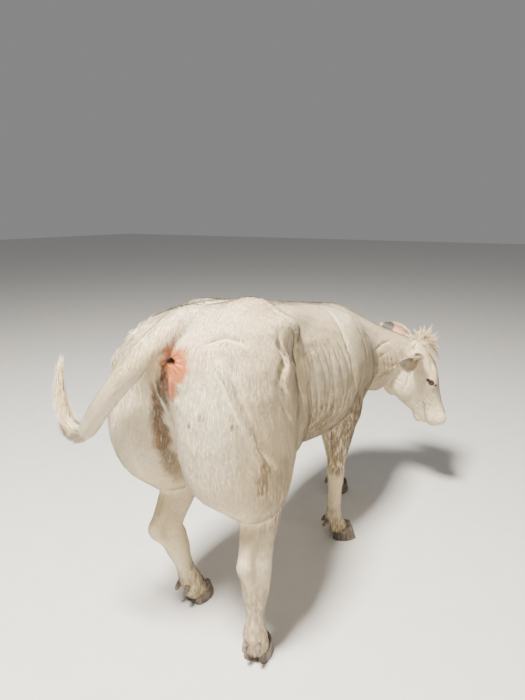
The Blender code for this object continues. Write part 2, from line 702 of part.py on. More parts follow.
def pieces_of(obj):
    """The separate bodies of an object, each as its own object."""
    bpy.ops.object.select_all(action="DESELECT")
    obj.select_set(True)
    bpy.context.view_layer.objects.active = obj
    bpy.ops.mesh.separate(type="LOOSE")
    return list(bpy.context.selected_objects)


def largest(obj):
    """Keeps the largest closed surface of an object."""
    parts = sorted(pieces_of(obj), key=lambda p: len(p.data.vertices))
    for extra in parts[:-1]:
        bpy.data.objects.remove(extra)
    return parts[-1]


def grown(obj, by):
    """A copy whose surface lies a little outside the first."""
    copy = obj.copy()
    copy.data = obj.data.copy()
    bpy.context.scene.collection.objects.link(copy)
    shifts = [v.normal * by for v in copy.data.vertices]
    for v, shift in zip(copy.data.vertices, shifts):
        v.co += shift
    return copy


@dataclass
class Foot:
    """Two claws and two dewclaws of one leg, in the foot's own frame."""

    leg: Leg
    slope: float = 0.37
    coronet: float = 0.062

    def place(self, forward, outward, z):
        c, s = math.cos(self.leg.heading), math.sin(self.leg.heading)
        x, y, _ = self.leg.foot
        return Vector((x + c * forward - s * outward, y + s * forward + c * outward, z))

    def coronet_height(self, forward):
        return self.coronet + self.slope * forward

    def claw(self, name, s):
        """One claw: flat sole, round heel, pointed toe and a sloping front wall."""
        k = CLAW_LENGTH / 0.125
        outline = [(-0.046, 0.014), (-0.052, 0.030), (-0.043, 0.047), (-0.010, 0.056), (0.022, 0.055),
                   (0.050, 0.045), (0.072, 0.026), (0.068, 0.012), (0.045, 0.004), (0.005, 0.002),
                   (-0.028, 0.004)]
        sole = [self.place(f * k * 0.97, s * (0.028 + (o - 0.028) * 0.96), 0) for f, o in outline]
        edge = [self.place(f * k, s * o, 0.004) for f, o in outline]
        loops = [sole, edge]
        for rise in (0.5, 1.0):
            loop = []
            for f, o in outline:
                back = f * (1 - 0.40 * rise) if f > 0 else f * (1 - 0.10 * rise)
                top = self.coronet_height(back) - CUT_GAP
                loop.append(self.place(back * k, s * (0.028 + (o - 0.028) * (1 - 0.10 * rise)),
                                       0.004 + (top - 0.004) * rise))
            loops.append(loop)
        return skin_over(name, loops)

    def dewclaw(self, name, s):
        """A small blunt cone behind the fetlock."""
        at = Vector(self.leg.fetlock)
        c, n = math.cos(self.leg.heading), math.sin(self.leg.heading)
        ahead, out = Vector((c, n, 0)), Vector((-n, c, 0))
        root = at - ahead * 0.030 + out * (s * 0.023) - Z_AXIS * 0.008
        tip = root - ahead * 0.030 + out * (s * 0.004) - Z_AXIS * DEWCLAW_LENGTH
        return sweep(name, [(root, 0.013, 0.012), (between(root, tip, 0.5), 0.013, 0.012),
                            (between(root, tip, 0.85), 0.010, 0.009), (tip, 0.004, 0.004)], 8, ahead)

    def ground(self):
        """The cutter that takes away the leg's flesh below the coronet."""
        c, n = math.cos(self.leg.heading), math.sin(self.leg.heading)
        ahead = Vector((c, n, self.slope))
        up = Vector((-self.slope * c, -self.slope * n, 1)).normalized()
        deep = 0.09
        at = self.place(0, 0, self.coronet) - up * deep
        return block(at, ahead, (0.12, 0.11, deep), up)


def plates():
    """Thin plates that part the flesh into its nodes."""
    half = CUT_GAP / 2
    _, out, left = head_axes()
    nape, throat = on_head(-0.005, -0.06), on_head(0.160, -0.270)
    neck_way = left.cross((nape - throat).normalized())
    made = [
        block(between(nape, throat, 0.5) - out * 0.012, neck_way, (half, 0.18, 0.265)),
        block((0.66, -0.045, 0.93), (0.80, -0.50, 0.33), (half, 0.29, 0.42)),
    ]
    for a, b, t, size in ((3, 4, 0.5, 0.055), (4, 5, 0.9, 0.055), (6, 7, 0.3, 0.050)):
        at = between(TAIL_PATH[a][0], TAIL_PATH[b][0], t)
        way = Vector(TAIL_PATH[b][0]) - Vector(TAIL_PATH[a][0])
        made.append(block(at, way, (half, size, size)))
    for name, leg in LEGS.items():
        hind = name.startswith("hind")
        at = between(leg.top, leg.knee, 0.55 if hind else 0.62)
        made.append(block(at, Z_AXIS, (half, 0.17, 0.17), X_AXIS))
    return made


def eye_frame(s):
    """Centre of an eye, the way it looks, along its slit, and across it."""
    along, out, left = head_axes()
    centre = on_head(EYE_ALONG, -0.044, s * 0.0845)
    look = (left * s + out * 0.22 + along * 0.10).normalized()
    slit = (along - out * 0.30).normalized()
    slit = (slit - look * slit.dot(look)).normalized()
    return centre, look, slit, look.cross(slit)


def almond(s, reach, scale, count=18):
    """Points of the lids' opening, at a distance from the eye's centre."""
    centre, look, slit, across = eye_frame(s)
    points = []
    for i in range(count):
        a = 2 * math.pi * i / count
        wide, high = math.cos(a), math.sin(a) * abs(math.sin(a)) ** 0.35
        way = look + slit * (EYE_SLIT[0] * scale * wide) + across * (EYE_SLIT[1] * scale * high)
        points.append(centre + way.normalized() * reach)
    return points


def lids(s):
    """The rims of the upper and lower lid as one ring."""
    rail = almond(s, EYE_RADIUS + 0.0020, 1.0, 20)
    centre = eye_frame(s)[0]
    loops = []
    for i, p in enumerate(rail):
        along = (rail[(i + 1) % len(rail)] - rail[i - 1]).normalized()
        out = (p - centre).normalized()
        side = along.cross(out).normalized()
        thick = 0.0036 + 0.0014 * abs(math.sin(2 * math.pi * i / len(rail)))
        loops.append([p + out * (math.cos(b) * thick) + side * (math.sin(b) * thick)
                      for b in (2 * math.pi * k / 6 for k in range(6))])
    points = [p for loop in loops for p in loop]
    faces = []
    for j in range(len(loops)):
        n = (j + 1) % len(loops)
        for i in range(6):
            k = (i + 1) % 6
            faces.append((j * 6 + i, j * 6 + k, n * 6 + k, n * 6 + i))
    return mesh_object("lids", points, faces)


def ball(name, centre, radius):
    bpy.ops.mesh.primitive_uv_sphere_add(segments=16, ring_count=10, radius=radius, location=centre)
    bpy.ops.object.transform_apply(location=True)
    bpy.context.object.name = name
    return bpy.context.object


def nostril(s):
    """A comma-shaped hole, bent inwards."""
    _, out, left = head_axes()
    stations = [
        (on_head(0.520, -0.054, s * 0.048), 0.0145, 0.0095),
        (on_head(0.495, -0.053, s * 0.045), 0.0140, 0.0090),
        (on_head(0.475, -0.054, s * 0.038), 0.0105, 0.0078),
        (on_head(0.459, -0.057, s * 0.030), 0.0050, 0.0040),
    ]
    return sweep("nostril", stations, 12, out + left * (s * 0.9))


def mouth(face):
    """The cutter of the line between the lips: a thin blade bent round the muzzle, just under its skin."""
    half = [(0.355, -0.108, 0.068), (0.375, -0.112, 0.068), (0.398, -0.116, 0.068), (0.424, -0.119, 0.066),
            (0.450, -0.121, 0.060), (0.472, -0.122, 0.046), (0.486, -0.121, 0.024), (0.491, -0.120, 0.0)]
    path = half + [(a, o, -l) for a, o, l in half[-2::-1]]
    stations = []
    for i, at in enumerate(path):
        _, where, normal, _ = face.closest_point_on_mesh(on_head(*at))
        taper = min(1.0, 0.35 + 0.30 * min(i, len(path) - 1 - i))
        stations.append((where, MOUTH_DEPTH * taper, MOUTH_GAP / 2))
    return sweep("mouth", stations, 8, head_axes()[1])


def ear(s):
    """A thick leaf-shaped cup that narrows to a tube at its root."""
    left = head_axes()[2]
    back = -Vector((math.cos(HEAD_TURN), -math.sin(HEAD_TURN), 0))
    if s == LEFT:
        root = on_head(0.038, -0.058, 0.076)
        way = (back * 0.82 + left * 0.20 + Z_AXIS * 0.44).normalized()
        hollow = -left * 0.8 - back * 0.1 + Z_AXIS * 0.55
    else:
        root = on_head(0.058, -0.072, -0.078)
        way = (-left * 0.90 + back * 0.42 + Z_AXIS * 0.05).normalized()
        hollow = -Z_AXIS * 0.45 - back * 0.85
    hollow = (hollow - way * hollow.dot(way)).normalized()
    across = way.cross(hollow)
    loops = []
    for t, width, turn, thick in (
            (0.0, 0.42, 165, 0.018), (0.14, 0.46, 158, 0.009), (0.26, 0.72, 118, 0.007),
            (0.42, 0.96, 84, 0.006), (0.60, 1.00, 66, 0.0055), (0.78, 0.82, 58, 0.005),
            (0.91, 0.50, 50, 0.0045), (0.985, 0.18, 40, 0.004)):
        bend = math.radians(turn)
        radius = EAR_HALF_WIDTH * width / math.sin(min(bend, math.pi / 2))
        middle = root + way * (EAR_LENGTH * t + 0.020) + hollow * (0.02 * math.sin(math.pi * t) - 0.020)
        loop = []
        for k in range(9):
            a = bend * (k / 4 - 1)
            loop.append(middle + across * (radius * math.sin(a)) + hollow * (radius * (1 - math.cos(a))))
        for k in range(7):
            a = bend * 0.94 * (1 - k / 3)
            r = max(radius - thick, radius * 0.25)
            loop.append(middle + across * (r * math.sin(a)) + hollow * (radius - r * math.cos(a)))
        loops.append(loop)
    shell = skin_over("ear", loops)
    foot = sweep("ear_foot", [(root, 0.026, 0.026), (root + way * 0.030, 0.021, 0.021),
                              (root + way * 0.060, 0.017, 0.016)], 12, hollow)
    return combine(shell, foot, "UNION")


def lock(root, path, width, thick, flat):
    """One tapered, bent lock of hair, wide across and thin along flat."""
    stations = [(root, width * 0.75, thick)]
    sizes = (1.0, 0.85, 0.55)
    for at, size in zip(path[:-1], sizes):
        stations.append((at, width * size, thick * size))
    stations.append((path[-1], 0.001, 0.001))
    return sweep("lock", stations, 4, flat, pointed=True)


def forelock(rng):
    """The tuft over the poll: locks standing up and falling over the forehead."""
    along, out, left = head_axes()
    made = []
    for i in range(18):
        l = rng.uniform(-0.062, 0.062)
        s = rng.uniform(-0.012, 0.050)
        root = on_head(s, -0.022, l)
        forward = i % 5 < 3
        size = rng.uniform(0.060, 0.095)
        if forward:
            way = (out * rng.uniform(0.7, 1.1) + along * rng.uniform(0.25, 0.9) + left * rng.uniform(-0.4, 0.4))
            droop = along * 0.55 - out * 0.15
        else:
            way = (-along * rng.uniform(0.5, 1.1) + out * rng.uniform(0.5, 1.0) + left * rng.uniform(-0.6, 0.6))
            droop = out * 0.25 + left * rng.uniform(-0.3, 0.3)
        way.normalize()
        path = [root + way * (size * t) + droop * (size * 0.5 * t * t) for t in (0.40, 0.68, 0.90, 1.12)]
        flat = left.cross(way) + left * rng.uniform(-1.2, 1.2)
        made.append(lock(root, path, rng.uniform(0.013, 0.019), rng.uniform(0.0032, 0.0045), flat))
    return made


def switch(rng):
    """The hair of the tail, flicked up past its bend."""
    core = [Vector(at) for at, _, _ in TAIL_PATH[6:]]
    aims = [Vector((-0.910, 0.422, 1.09)), Vector((-0.905, 0.418, 1.155)), Vector((-0.90, 0.400, 1.225))]
    rail = core + aims
    made = []
    for i in range(24):
        start = rng.uniform(0.8, len(core) - 1.3)
        whole, part = int(start), start % 1
        root = between(rail[whole], rail[whole + 1], part)
        fan = Vector((rng.uniform(-1, 1), rng.uniform(-1, 1), rng.uniform(-0.6, 0.6)))
        reach = rng.uniform(1.6, 2.9)
        path = []
        for k, t in enumerate((0.3, 0.6, 0.85, 1.0)):
            at = min(start + reach * t, len(rail) - 1.001)
            on = between(rail[int(at)], rail[int(at) + 1], at % 1)
            path.append(on + fan * (0.016 + 0.022 * t))
        made.append(lock(root, path, rng.uniform(0.009, 0.014), rng.uniform(0.004, 0.006), X_AXIS))
    return made


SKINS = {
    "coat": ((0.86, 0.80, 0.68), 0.75),
    "leg_coat": ((0.80, 0.72, 0.58), 0.75),
    "ear": ((0.84, 0.72, 0.62), 0.7),
    "tail": ((0.84, 0.77, 0.64), 0.8),
    "horn": ((0.13, 0.10, 0.08), 0.45),
    "eye": ((0.02, 0.015, 0.02), 0.08),
}


def finish(obj, name, skin, collection):
    """Names an object, gives it its own material and puts it in the collection."""
    obj.name = name
    obj.data.name = name
    colour, roughness = SKINS[skin]
    material = bpy.data.materials.new(name)
    material.use_nodes = True
    shader = material.node_tree.nodes["Principled BSDF"]
    shader.inputs["Base Color"].default_value = (*colour, 1)
    shader.inputs["Roughness"].default_value = roughness
    shader.inputs["Metallic"].default_value = 0.0
    obj.data.materials.clear()
    obj.data.materials.append(material)
    for old in list(obj.users_collection):
        old.objects.unlink(obj)
    collection.objects.link(obj)
    obj.data.shade_smooth()
    return obj


def nearest(pieces, at):
    """Takes from the list the piece whose middle lies nearest to a place."""
    def middle(piece):
        points = [v.co for v in piece.data.vertices]
        return sum(points, Vector()) / len(points)

    found = min(pieces, key=lambda p: (middle(p) - Vector(at)).length)
    pieces.remove(found)
    return found


def stand(collection):
    """Moves everything so that the middle of its box is over the origin and the soles are at floor level."""
    points = np.vstack([coordinates(obj) for obj in collection.objects])
    low, high = points.min(axis=0), points.max(axis=0)
    shift = Vector((-(low[0] + high[0]) / 2, -(low[1] + high[1]) / 2, -low[2]))
    for obj in collection.objects:
        obj.data.transform(Matrix.Translation(shift))


def main():
    for obj in list(bpy.data.objects):
        bpy.data.objects.remove(obj)
    rng = random.Random(7)
    collection = bpy.data.collections.new("belgian_blue_cattle")
    bpy.context.scene.collection.children.link(collection)

    whole = flesh()
    strokes = head_strokes()
    strokes += OTHER_CREASES
    for width, depth, path in BODY_CREASES:
        for side in both_sides(path):
            strokes.append((width, depth, side))
    crease(whole, strokes)
    thin(whole, [
        (on_the_head, HEAD_TRIANGLES),
        (on_a_leg, LEG_TRIANGLES),
        (on_the_tail, TAIL_TRIANGLES),
        (on_the_trunk, TRUNK_TRIANGLES),
    ])
    feet = {name: Foot(leg) for name, leg in LEGS.items()}
    cuts = joined("cuts", plates() + [foot.ground() for foot in feet.values()])
    whole = combine(whole, cuts, "DIFFERENCE")
    parts = [p for p in pieces_of(whole) if max(v.co.z for v in p.data.vertices) > 0.10]
    parts = [p for p in parts if len(p.data.polygons) > 50]
    nodes = {}
    for name, at in [("torso", (-0.1, 0.03, 0.98)), ("neck", (0.76, -0.15, 0.88)),
                     ("head", on_head(0.2, -0.1)), ("tail_end", TAIL_PATH[8][0]),
                     ("tail_mid", TAIL_PATH[5][0]), ("tail_base", TAIL_PATH[4][0])]:
        nodes[name] = nearest(parts, at)
    for name, leg in LEGS.items():
        nodes["leg_" + name] = nearest(parts, leg.knee)

    face = nodes["head"]
    holes = []
    for s in (LEFT, RIGHT):
        holes.append(skin_over("slit", [almond(s, 0.004, 0.85), almond(s, 0.060, 0.85)]))
        holes.append(nostril(s))
    holes.append(mouth(face))
    face = combine(face, joined("holes", holes), "DIFFERENCE")
    face = combine(face, joined("lids", [lids(LEFT), lids(RIGHT)]), "UNION")
    sockets = joined("sockets", [ball("socket", eye_frame(s)[0], EYE_RADIUS + CUT_GAP) for s in (LEFT, RIGHT)])
    face = largest(combine(face, sockets, "DIFFERENCE"))
    ears = {}
    for name, s in (("left", LEFT), ("right", RIGHT)):
        ears[name] = ear(s)
        for near in (face, nodes["neck"]):
            ears[name] = combine(ears[name], grown(near, CUT_GAP), "DIFFERENCE")
        ears[name] = largest(ears[name])
    nodes["head"] = face
    for key, locks in (("head", forelock(rng)), ("tail_end", switch(rng))):
        for hair in locks:
            nodes[key] = combine(nodes[key], hair, "UNION")
        nodes[key] = largest(nodes[key])

    for name, obj in nodes.items():
        skin = "leg_coat" if name.startswith("leg") else "tail" if name.startswith("tail") else "coat"
        finish(obj, name, skin, collection)
    for side, s in (("left", LEFT), ("right", RIGHT)):
        finish(ears[side], "ear_" + side, "ear", collection)
        finish(ball("eye", eye_frame(s)[0], EYE_RADIUS), "eye_" + side, "eye", collection)
    for leg_name, foot in feet.items():
        for side, s in (("left", LEFT), ("right", RIGHT)):
            finish(foot.claw("claw", s), f"claw_{leg_name}_{side}", "horn", collection)
            skin = grown(nodes["leg_" + leg_name], CUT_GAP)
            dew = largest(combine(foot.dewclaw("dewclaw", s), skin, "DIFFERENCE"))
            finish(dew, f"dewclaw_{leg_name}_{side}", "horn", collection)
    stand(collection)


main()
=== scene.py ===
"""The looks of a life-size model of a white double-muscled cow: skin, coat, locks, eyes, claws and light."""

import logging
import math
from dataclasses import dataclass, field
from enum import Enum
from itertools import product

import bpy
import numpy as np
from mathutils import Matrix, Vector
from mathutils.bvhtree import BVHTree
from mathutils.kdtree import KDTree


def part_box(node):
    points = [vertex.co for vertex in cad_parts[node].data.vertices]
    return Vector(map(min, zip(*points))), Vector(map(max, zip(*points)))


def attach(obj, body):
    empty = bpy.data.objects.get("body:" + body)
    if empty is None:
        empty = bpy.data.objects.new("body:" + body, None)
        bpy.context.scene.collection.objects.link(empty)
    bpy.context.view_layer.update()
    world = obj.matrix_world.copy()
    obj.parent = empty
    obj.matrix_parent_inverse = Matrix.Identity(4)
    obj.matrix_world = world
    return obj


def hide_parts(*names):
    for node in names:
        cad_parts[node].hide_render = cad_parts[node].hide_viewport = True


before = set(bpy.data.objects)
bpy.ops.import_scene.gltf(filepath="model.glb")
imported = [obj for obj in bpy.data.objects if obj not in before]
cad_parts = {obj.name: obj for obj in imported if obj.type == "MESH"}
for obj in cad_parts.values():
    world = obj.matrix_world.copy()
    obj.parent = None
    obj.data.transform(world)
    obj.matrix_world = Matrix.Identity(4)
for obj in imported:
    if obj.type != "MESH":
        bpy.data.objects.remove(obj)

logging.basicConfig(level=logging.INFO, format="%(message)s")
log = logging.getLogger("cow")

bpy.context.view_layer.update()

# Driving sizes, in metres.
EYE_RADIUS = 0.0195
HEAD_TURN = math.radians(70)
HEAD_DROP = math.radians(72)
COAT_DEPTH = 0.005
FACE_DEPTH = 0.0015
EAR_MARGIN = 0.004
SEED = 11

# The poll in the body's own measures, and places on the head from it: along the face, out of it, to the left.
POLL = Vector((0.935, -0.393, 0.985))
EYE_ON_HEAD = (0.224, -0.044, 0.0845)
FACE_MIDDLE = (0.22, -0.11)
FACE_REACH = 0.34
EAR_ROOT = {1: (0.038, -0.058, 0.076), -1: (0.058, -0.072, -0.078)}
HOLLOW_EDGE = (0.25, 0.65)
FINE_SPOTS = (
    ((0.226, -0.048, 0.094), 0.044), ((0.226, -0.048, -0.094), 0.044), ((0.475, -0.090, 0.0), 0.075),
    ((0.400, -0.115, 0.06), 0.045), ((0.400, -0.115, -0.06), 0.045),
)

# The bent spine, the flesh of the tail's end with its radius, and the middle line of the switch.
SPINE_AT = (-0.45, -0.10, 0.20, 0.45, 0.60)
SPINE_LEFT = (0.075, 0.050, 0.030, 0.020, 0.0)
TAIL_PATH = (
    ((-0.888, 0.158, 1.152), 0.042), ((-0.900, 0.228, 1.068), 0.038), ((-0.902, 0.283, 0.996), 0.034),
    ((-0.904, 0.330, 0.948), 0.030), ((-0.908, 0.372, 0.950), 0.025), ((-0.910, 0.398, 0.985), 0.018),
    ((-0.910, 0.412, 1.030), 0.009),
)
SWITCH_PATH = (
    (-0.902, 0.283, 0.996), (-0.904, 0.330, 0.948), (-0.908, 0.372, 0.950), (-0.910, 0.398, 0.985),
    (-0.910, 0.412, 1.030), (-0.910, 0.422, 1.090), (-0.905, 0.418, 1.155), (-0.900, 0.400, 1.225),
)

# The camera of the photograph, in the same measures. Its picture is taken as 525 by 700.
CAMERA_AT = (-2.042, -1.037, 1.68)
CAMERA_YAW = math.radians(30)
CAMERA_PITCH = math.radians(14.7)
CAMERA_FOCAL = 526 / 525


class Side(Enum):
    """The animal's two sides."""

    LEFT = 1
    RIGHT = -1


LEGS = ("fore_left", "fore_right", "hind_left", "hind_right")
EARS = {"ear_left": Side.LEFT, "ear_right": Side.RIGHT}
FLESH = ("torso", "neck", "head", "tail_base", "tail_mid", "tail_end", *EARS, *("leg_" + leg for leg in LEGS))


def head_axes() -> tuple[Vector, Vector, Vector]:
    """The head's own ways, from its turn and its drop.

    Returns:
        Along the face to the nose, out of the forehead, and to its left.
    """
    level = Vector((math.cos(HEAD_TURN), -math.sin(HEAD_TURN), 0))
    up = Vector((0, 0, 1))
    along = level * math.cos(HEAD_DROP) - up * math.sin(HEAD_DROP)
    out = level * math.sin(HEAD_DROP) + up * math.cos(HEAD_DROP)
    return along, out, up.cross(level)


def middle(node: str) -> Vector:
    """The middle of a CAD node's box."""
    low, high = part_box(node)
    return (low + high) / 2


def body_origin() -> Vector:
    """Where the body's own measures start, found from the left eye of the frame.

    Returns:
        The place in the frame.
    """
    along, out, left = head_axes()
    a, o, l = EYE_ON_HEAD
    return middle("eye_left") - (POLL + along * a + out * o + left * l)


ORIGIN = body_origin()


def at(x: float, y: float, z: float) -> Vector:
    """A place given in the body's own measures."""
    return ORIGIN + Vector((x, y, z))


def on_head(along: float, out: float, left: float = 0.0) -> Vector:
    """A place given in the head's own measures from the poll."""
    a, o, l = head_axes()
    return ORIGIN + POLL + a * along + o * out + l * left


def rows(points: list[Vector]) -> np.ndarray:
    """Vectors as the rows of an array."""
    return np.array([tuple(p) for p in points])


def unit(v: np.ndarray) -> np.ndarray:
    """Rows made one long."""
    return v / np.maximum(np.linalg.norm(v, axis=-1, keepdims=True), 1e-9)


def smooth_step(low: float, high: float, x: np.ndarray) -> np.ndarray:
    """0 below low, 1 above high and a soft step between."""
    t = np.clip((x - low) / (high - low), 0, 1)
    return t * t * (3 - 2 * t)


def in_box(points: np.ndarray, node: str, margin: float) -> np.ndarray:
    """True for each point within a margin of a CAD node's box."""
    low, high = (np.array(corner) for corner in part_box(node))
    return np.all((points > low - margin) & (points < high + margin), axis=1)


def numbers(items: object, name: str, width: int, kind: type = float) -> np.ndarray:
    """One property of all the vertices, edges or faces of a mesh.

    Args:
        items: the mesh's vertices, normals, edges, faces or triangles.
        name: the property.
        width: how many numbers each item has.
        kind: the kind of number.

    Returns:
        One row for each item.
    """
    held = np.empty(len(items) * width, kind)
    items.foreach_get(name, held)
    return held.reshape(-1, width)


def coordinates(obj: bpy.types.Object) -> np.ndarray:
    """The vertices of a mesh object as rows."""
    return numbers(obj.data.vertices, "co", 3)


def vertex_normals(obj: bpy.types.Object) -> np.ndarray:
    """The vertex normals of a mesh object as rows."""
    return numbers(obj.data.vertex_normals, "vector", 3, np.float32).astype(float)


def triangle_corners(obj: bpy.types.Object) -> np.ndarray:
    """The vertex numbers of a mesh object's triangles."""
    obj.data.calc_loop_triangles()
    return numbers(obj.data.loop_triangles, "vertices", 3, np.int32)


def set_coordinates(obj: bpy.types.Object, points: np.ndarray) -> None:
    """Moves the vertices of a mesh object."""
    obj.data.vertices.foreach_set("co", points.ravel())
    obj.data.update()


def mark(obj: bpy.types.Object, name: str, values: np.ndarray) -> None:
    """Keeps a number for each vertex, which the material reads."""
    layer = obj.data.attributes.new(name, "FLOAT", "POINT")
    layer.data.foreach_set("value", values.astype(np.float32).ravel())


def deselect() -> None:
    """Leaves nothing selected."""
    if bpy.context.object and bpy.context.object.mode != "OBJECT":
        bpy.ops.object.mode_set(mode="OBJECT")
    bpy.ops.object.select_all(action="DESELECT")


def only(obj: bpy.types.Object) -> bpy.types.Object:
    """Selects one object and makes it active.

    Args:
        obj: the object.

    Returns:
        The same object.
    """
    deselect()
    obj.select_set(True)
    bpy.context.view_layer.objects.active = obj
    return obj


def placed(name: str, data: bpy.types.ID) -> bpy.types.Object:
    """A new object in the scene.

    Args:
        name: its name.
        data: its mesh, curve, light or camera.

    Returns:
        The object.
    """
    obj = bpy.data.objects.new(name, data)
    bpy.context.scene.collection.objects.link(obj)
    return obj


def apply(obj: bpy.types.Object, kind: str, **values: object) -> None:
    """Adds one modifier and applies it.

    Args:
        obj: the object that it changes.
        kind: the modifier's type.
        values: its settings.
    """
    only(obj)
    modifier = obj.modifiers.new(kind.lower(), kind)
    for name, value in values.items():
        setattr(modifier, name, value)
    bpy.ops.object.modifier_apply(modifier=modifier.name)


def join(pieces: list[bpy.types.Object], name: str) -> bpy.types.Object:
    """Several objects made one.

    Args:
        pieces: the objects, which are used up.
        name: the name of the whole.

    Returns:
        The joined object.
    """
    only(pieces[0])
    for piece in pieces:
        piece.select_set(True)
    bpy.ops.object.join()
    whole = bpy.context.object
    whole.name = whole.data.name = name
    return whole


def mesh_piece(name: str, points: np.ndarray, faces: np.ndarray) -> bpy.types.Object:
    """A mesh object of triangles.

    Args:
        name: the piece's name.
        points: rows of places.
        faces: rows of three vertex numbers.

    Returns:
        The new object, at the origin.
    """
    mesh = bpy.data.meshes.new(name)
    mesh.vertices.add(len(points))
    mesh.vertices.foreach_set("co", points.astype(np.float32).ravel())
    mesh.loops.add(len(faces) * 3)
    mesh.loops.foreach_set("vertex_index", faces.astype(np.int32).ravel())
    mesh.polygons.add(len(faces))
    mesh.polygons.foreach_set("loop_start", np.arange(0, len(faces) * 3, 3, dtype=np.int32))
    mesh.update(calc_edges=True)
    mesh.shade_smooth()
    return placed(name, mesh)


def copy_of(node: str) -> bpy.types.Object:
    """A welded copy of a CAD node, free of its body.

    Args:
        node: the CAD node.

    Returns:
        The copy.
    """
    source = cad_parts[node]
    copy = source.copy()
    copy.data = source.data.copy()
    copy.parent = None
    for key in list(copy.keys()):
        del copy[key]
    bpy.context.scene.collection.objects.link(copy)
    apply(copy, "WELD", merge_threshold=0.00001)
    return copy


def settle(obj: bpy.types.Object, slot: str, *nodes: str) -> None:
    """Lets a finished piece ride on the body, hides the CAD nodes that it replaces, and logs its triangles.

    Args:
        obj: the piece.
        slot: the material slot of the record; not used.
        nodes: the CAD nodes that it replaces.
    """
    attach(obj, "root")
    if nodes:
        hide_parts(*nodes)
    obj.data.calc_loop_triangles()
    log.info("%s: %d triangles", obj.name, len(obj.data.loop_triangles))


@dataclass(frozen=True)
class Patch:
    """A soft-edged patch of the skin: an ellipsoid in space, with ragged edges.

    Its radii lie along X, Y and Z, or along the head's own ways where head is set.
    """

    name: str
    centre: Vector
    radii: tuple[float, float, float]
    soft: float = 0.35
    ragged: float = 0.12
    head: bool = False
    strength: float = 1.0

    def turn(self) -> Matrix:
        """The patch's ways as the rows of a matrix."""
        return Matrix(head_axes()) if self.head else Matrix.Identity(3)

    def amount(self, points: np.ndarray) -> np.ndarray:
        """How much of the patch each point has, without the ragged edge.

        Args:
            points: rows of places.

        Returns:
            A number for each, from 0 to the patch's strength.
        """
        local = (points - np.array(self.centre)) @ np.array(self.turn()).T / np.array(self.radii)
        reach = np.linalg.norm(local, axis=1)
        return (1 - smooth_step(1 - self.soft, 1 + self.soft, reach)) * self.strength


# Bare skin of the muzzle and lips, then the skin under the tail, and painted shade in the openings of the
# vent and the nostrils.
BARE = [
    Patch("nose_pad", on_head(0.514, -0.046), (0.034, 0.060, 0.064), 0.20, 0.10, True),
    Patch("lip_left", on_head(0.480, -0.122, 0.030), (0.040, 0.012, 0.045), 0.30, 0.15, True),
    Patch("lip_right", on_head(0.480, -0.122, -0.030), (0.040, 0.012, 0.045), 0.30, 0.15, True),
]
UNDER_TAIL = [
    Patch("around", at(-0.803, 0.004, 1.206), (0.09, 0.054, 0.056), 0.30, 0.35),
    Patch("below", at(-0.803, 0.030, 1.145), (0.09, 0.031, 0.058), 0.35, 0.35),
]
# Painted shade: near-black where the vent and the nostrils open.
SHADED_OPENINGS = [
    Patch("opening", at(-0.796, 0.024, 1.221), (0.06, 0.019, 0.010), 0.45, 0.6),
    Patch("nostril_left", on_head(0.496, -0.052, 0.050), (0.015, 0.009, 0.014), 0.40, 0.1, True, 0.85),
    Patch("nostril_right", on_head(0.496, -0.052, -0.050), (0.015, 0.009, 0.014), 0.40, 0.1, True, 0.85),
]
EYE_SKIN = [
    Patch("eye_skin", on_head(0.226, -0.040, left), (0.040, 0.030, 0.032), 0.45, 0.15, True, 0.6)
    for left in (0.100, -0.100)
]

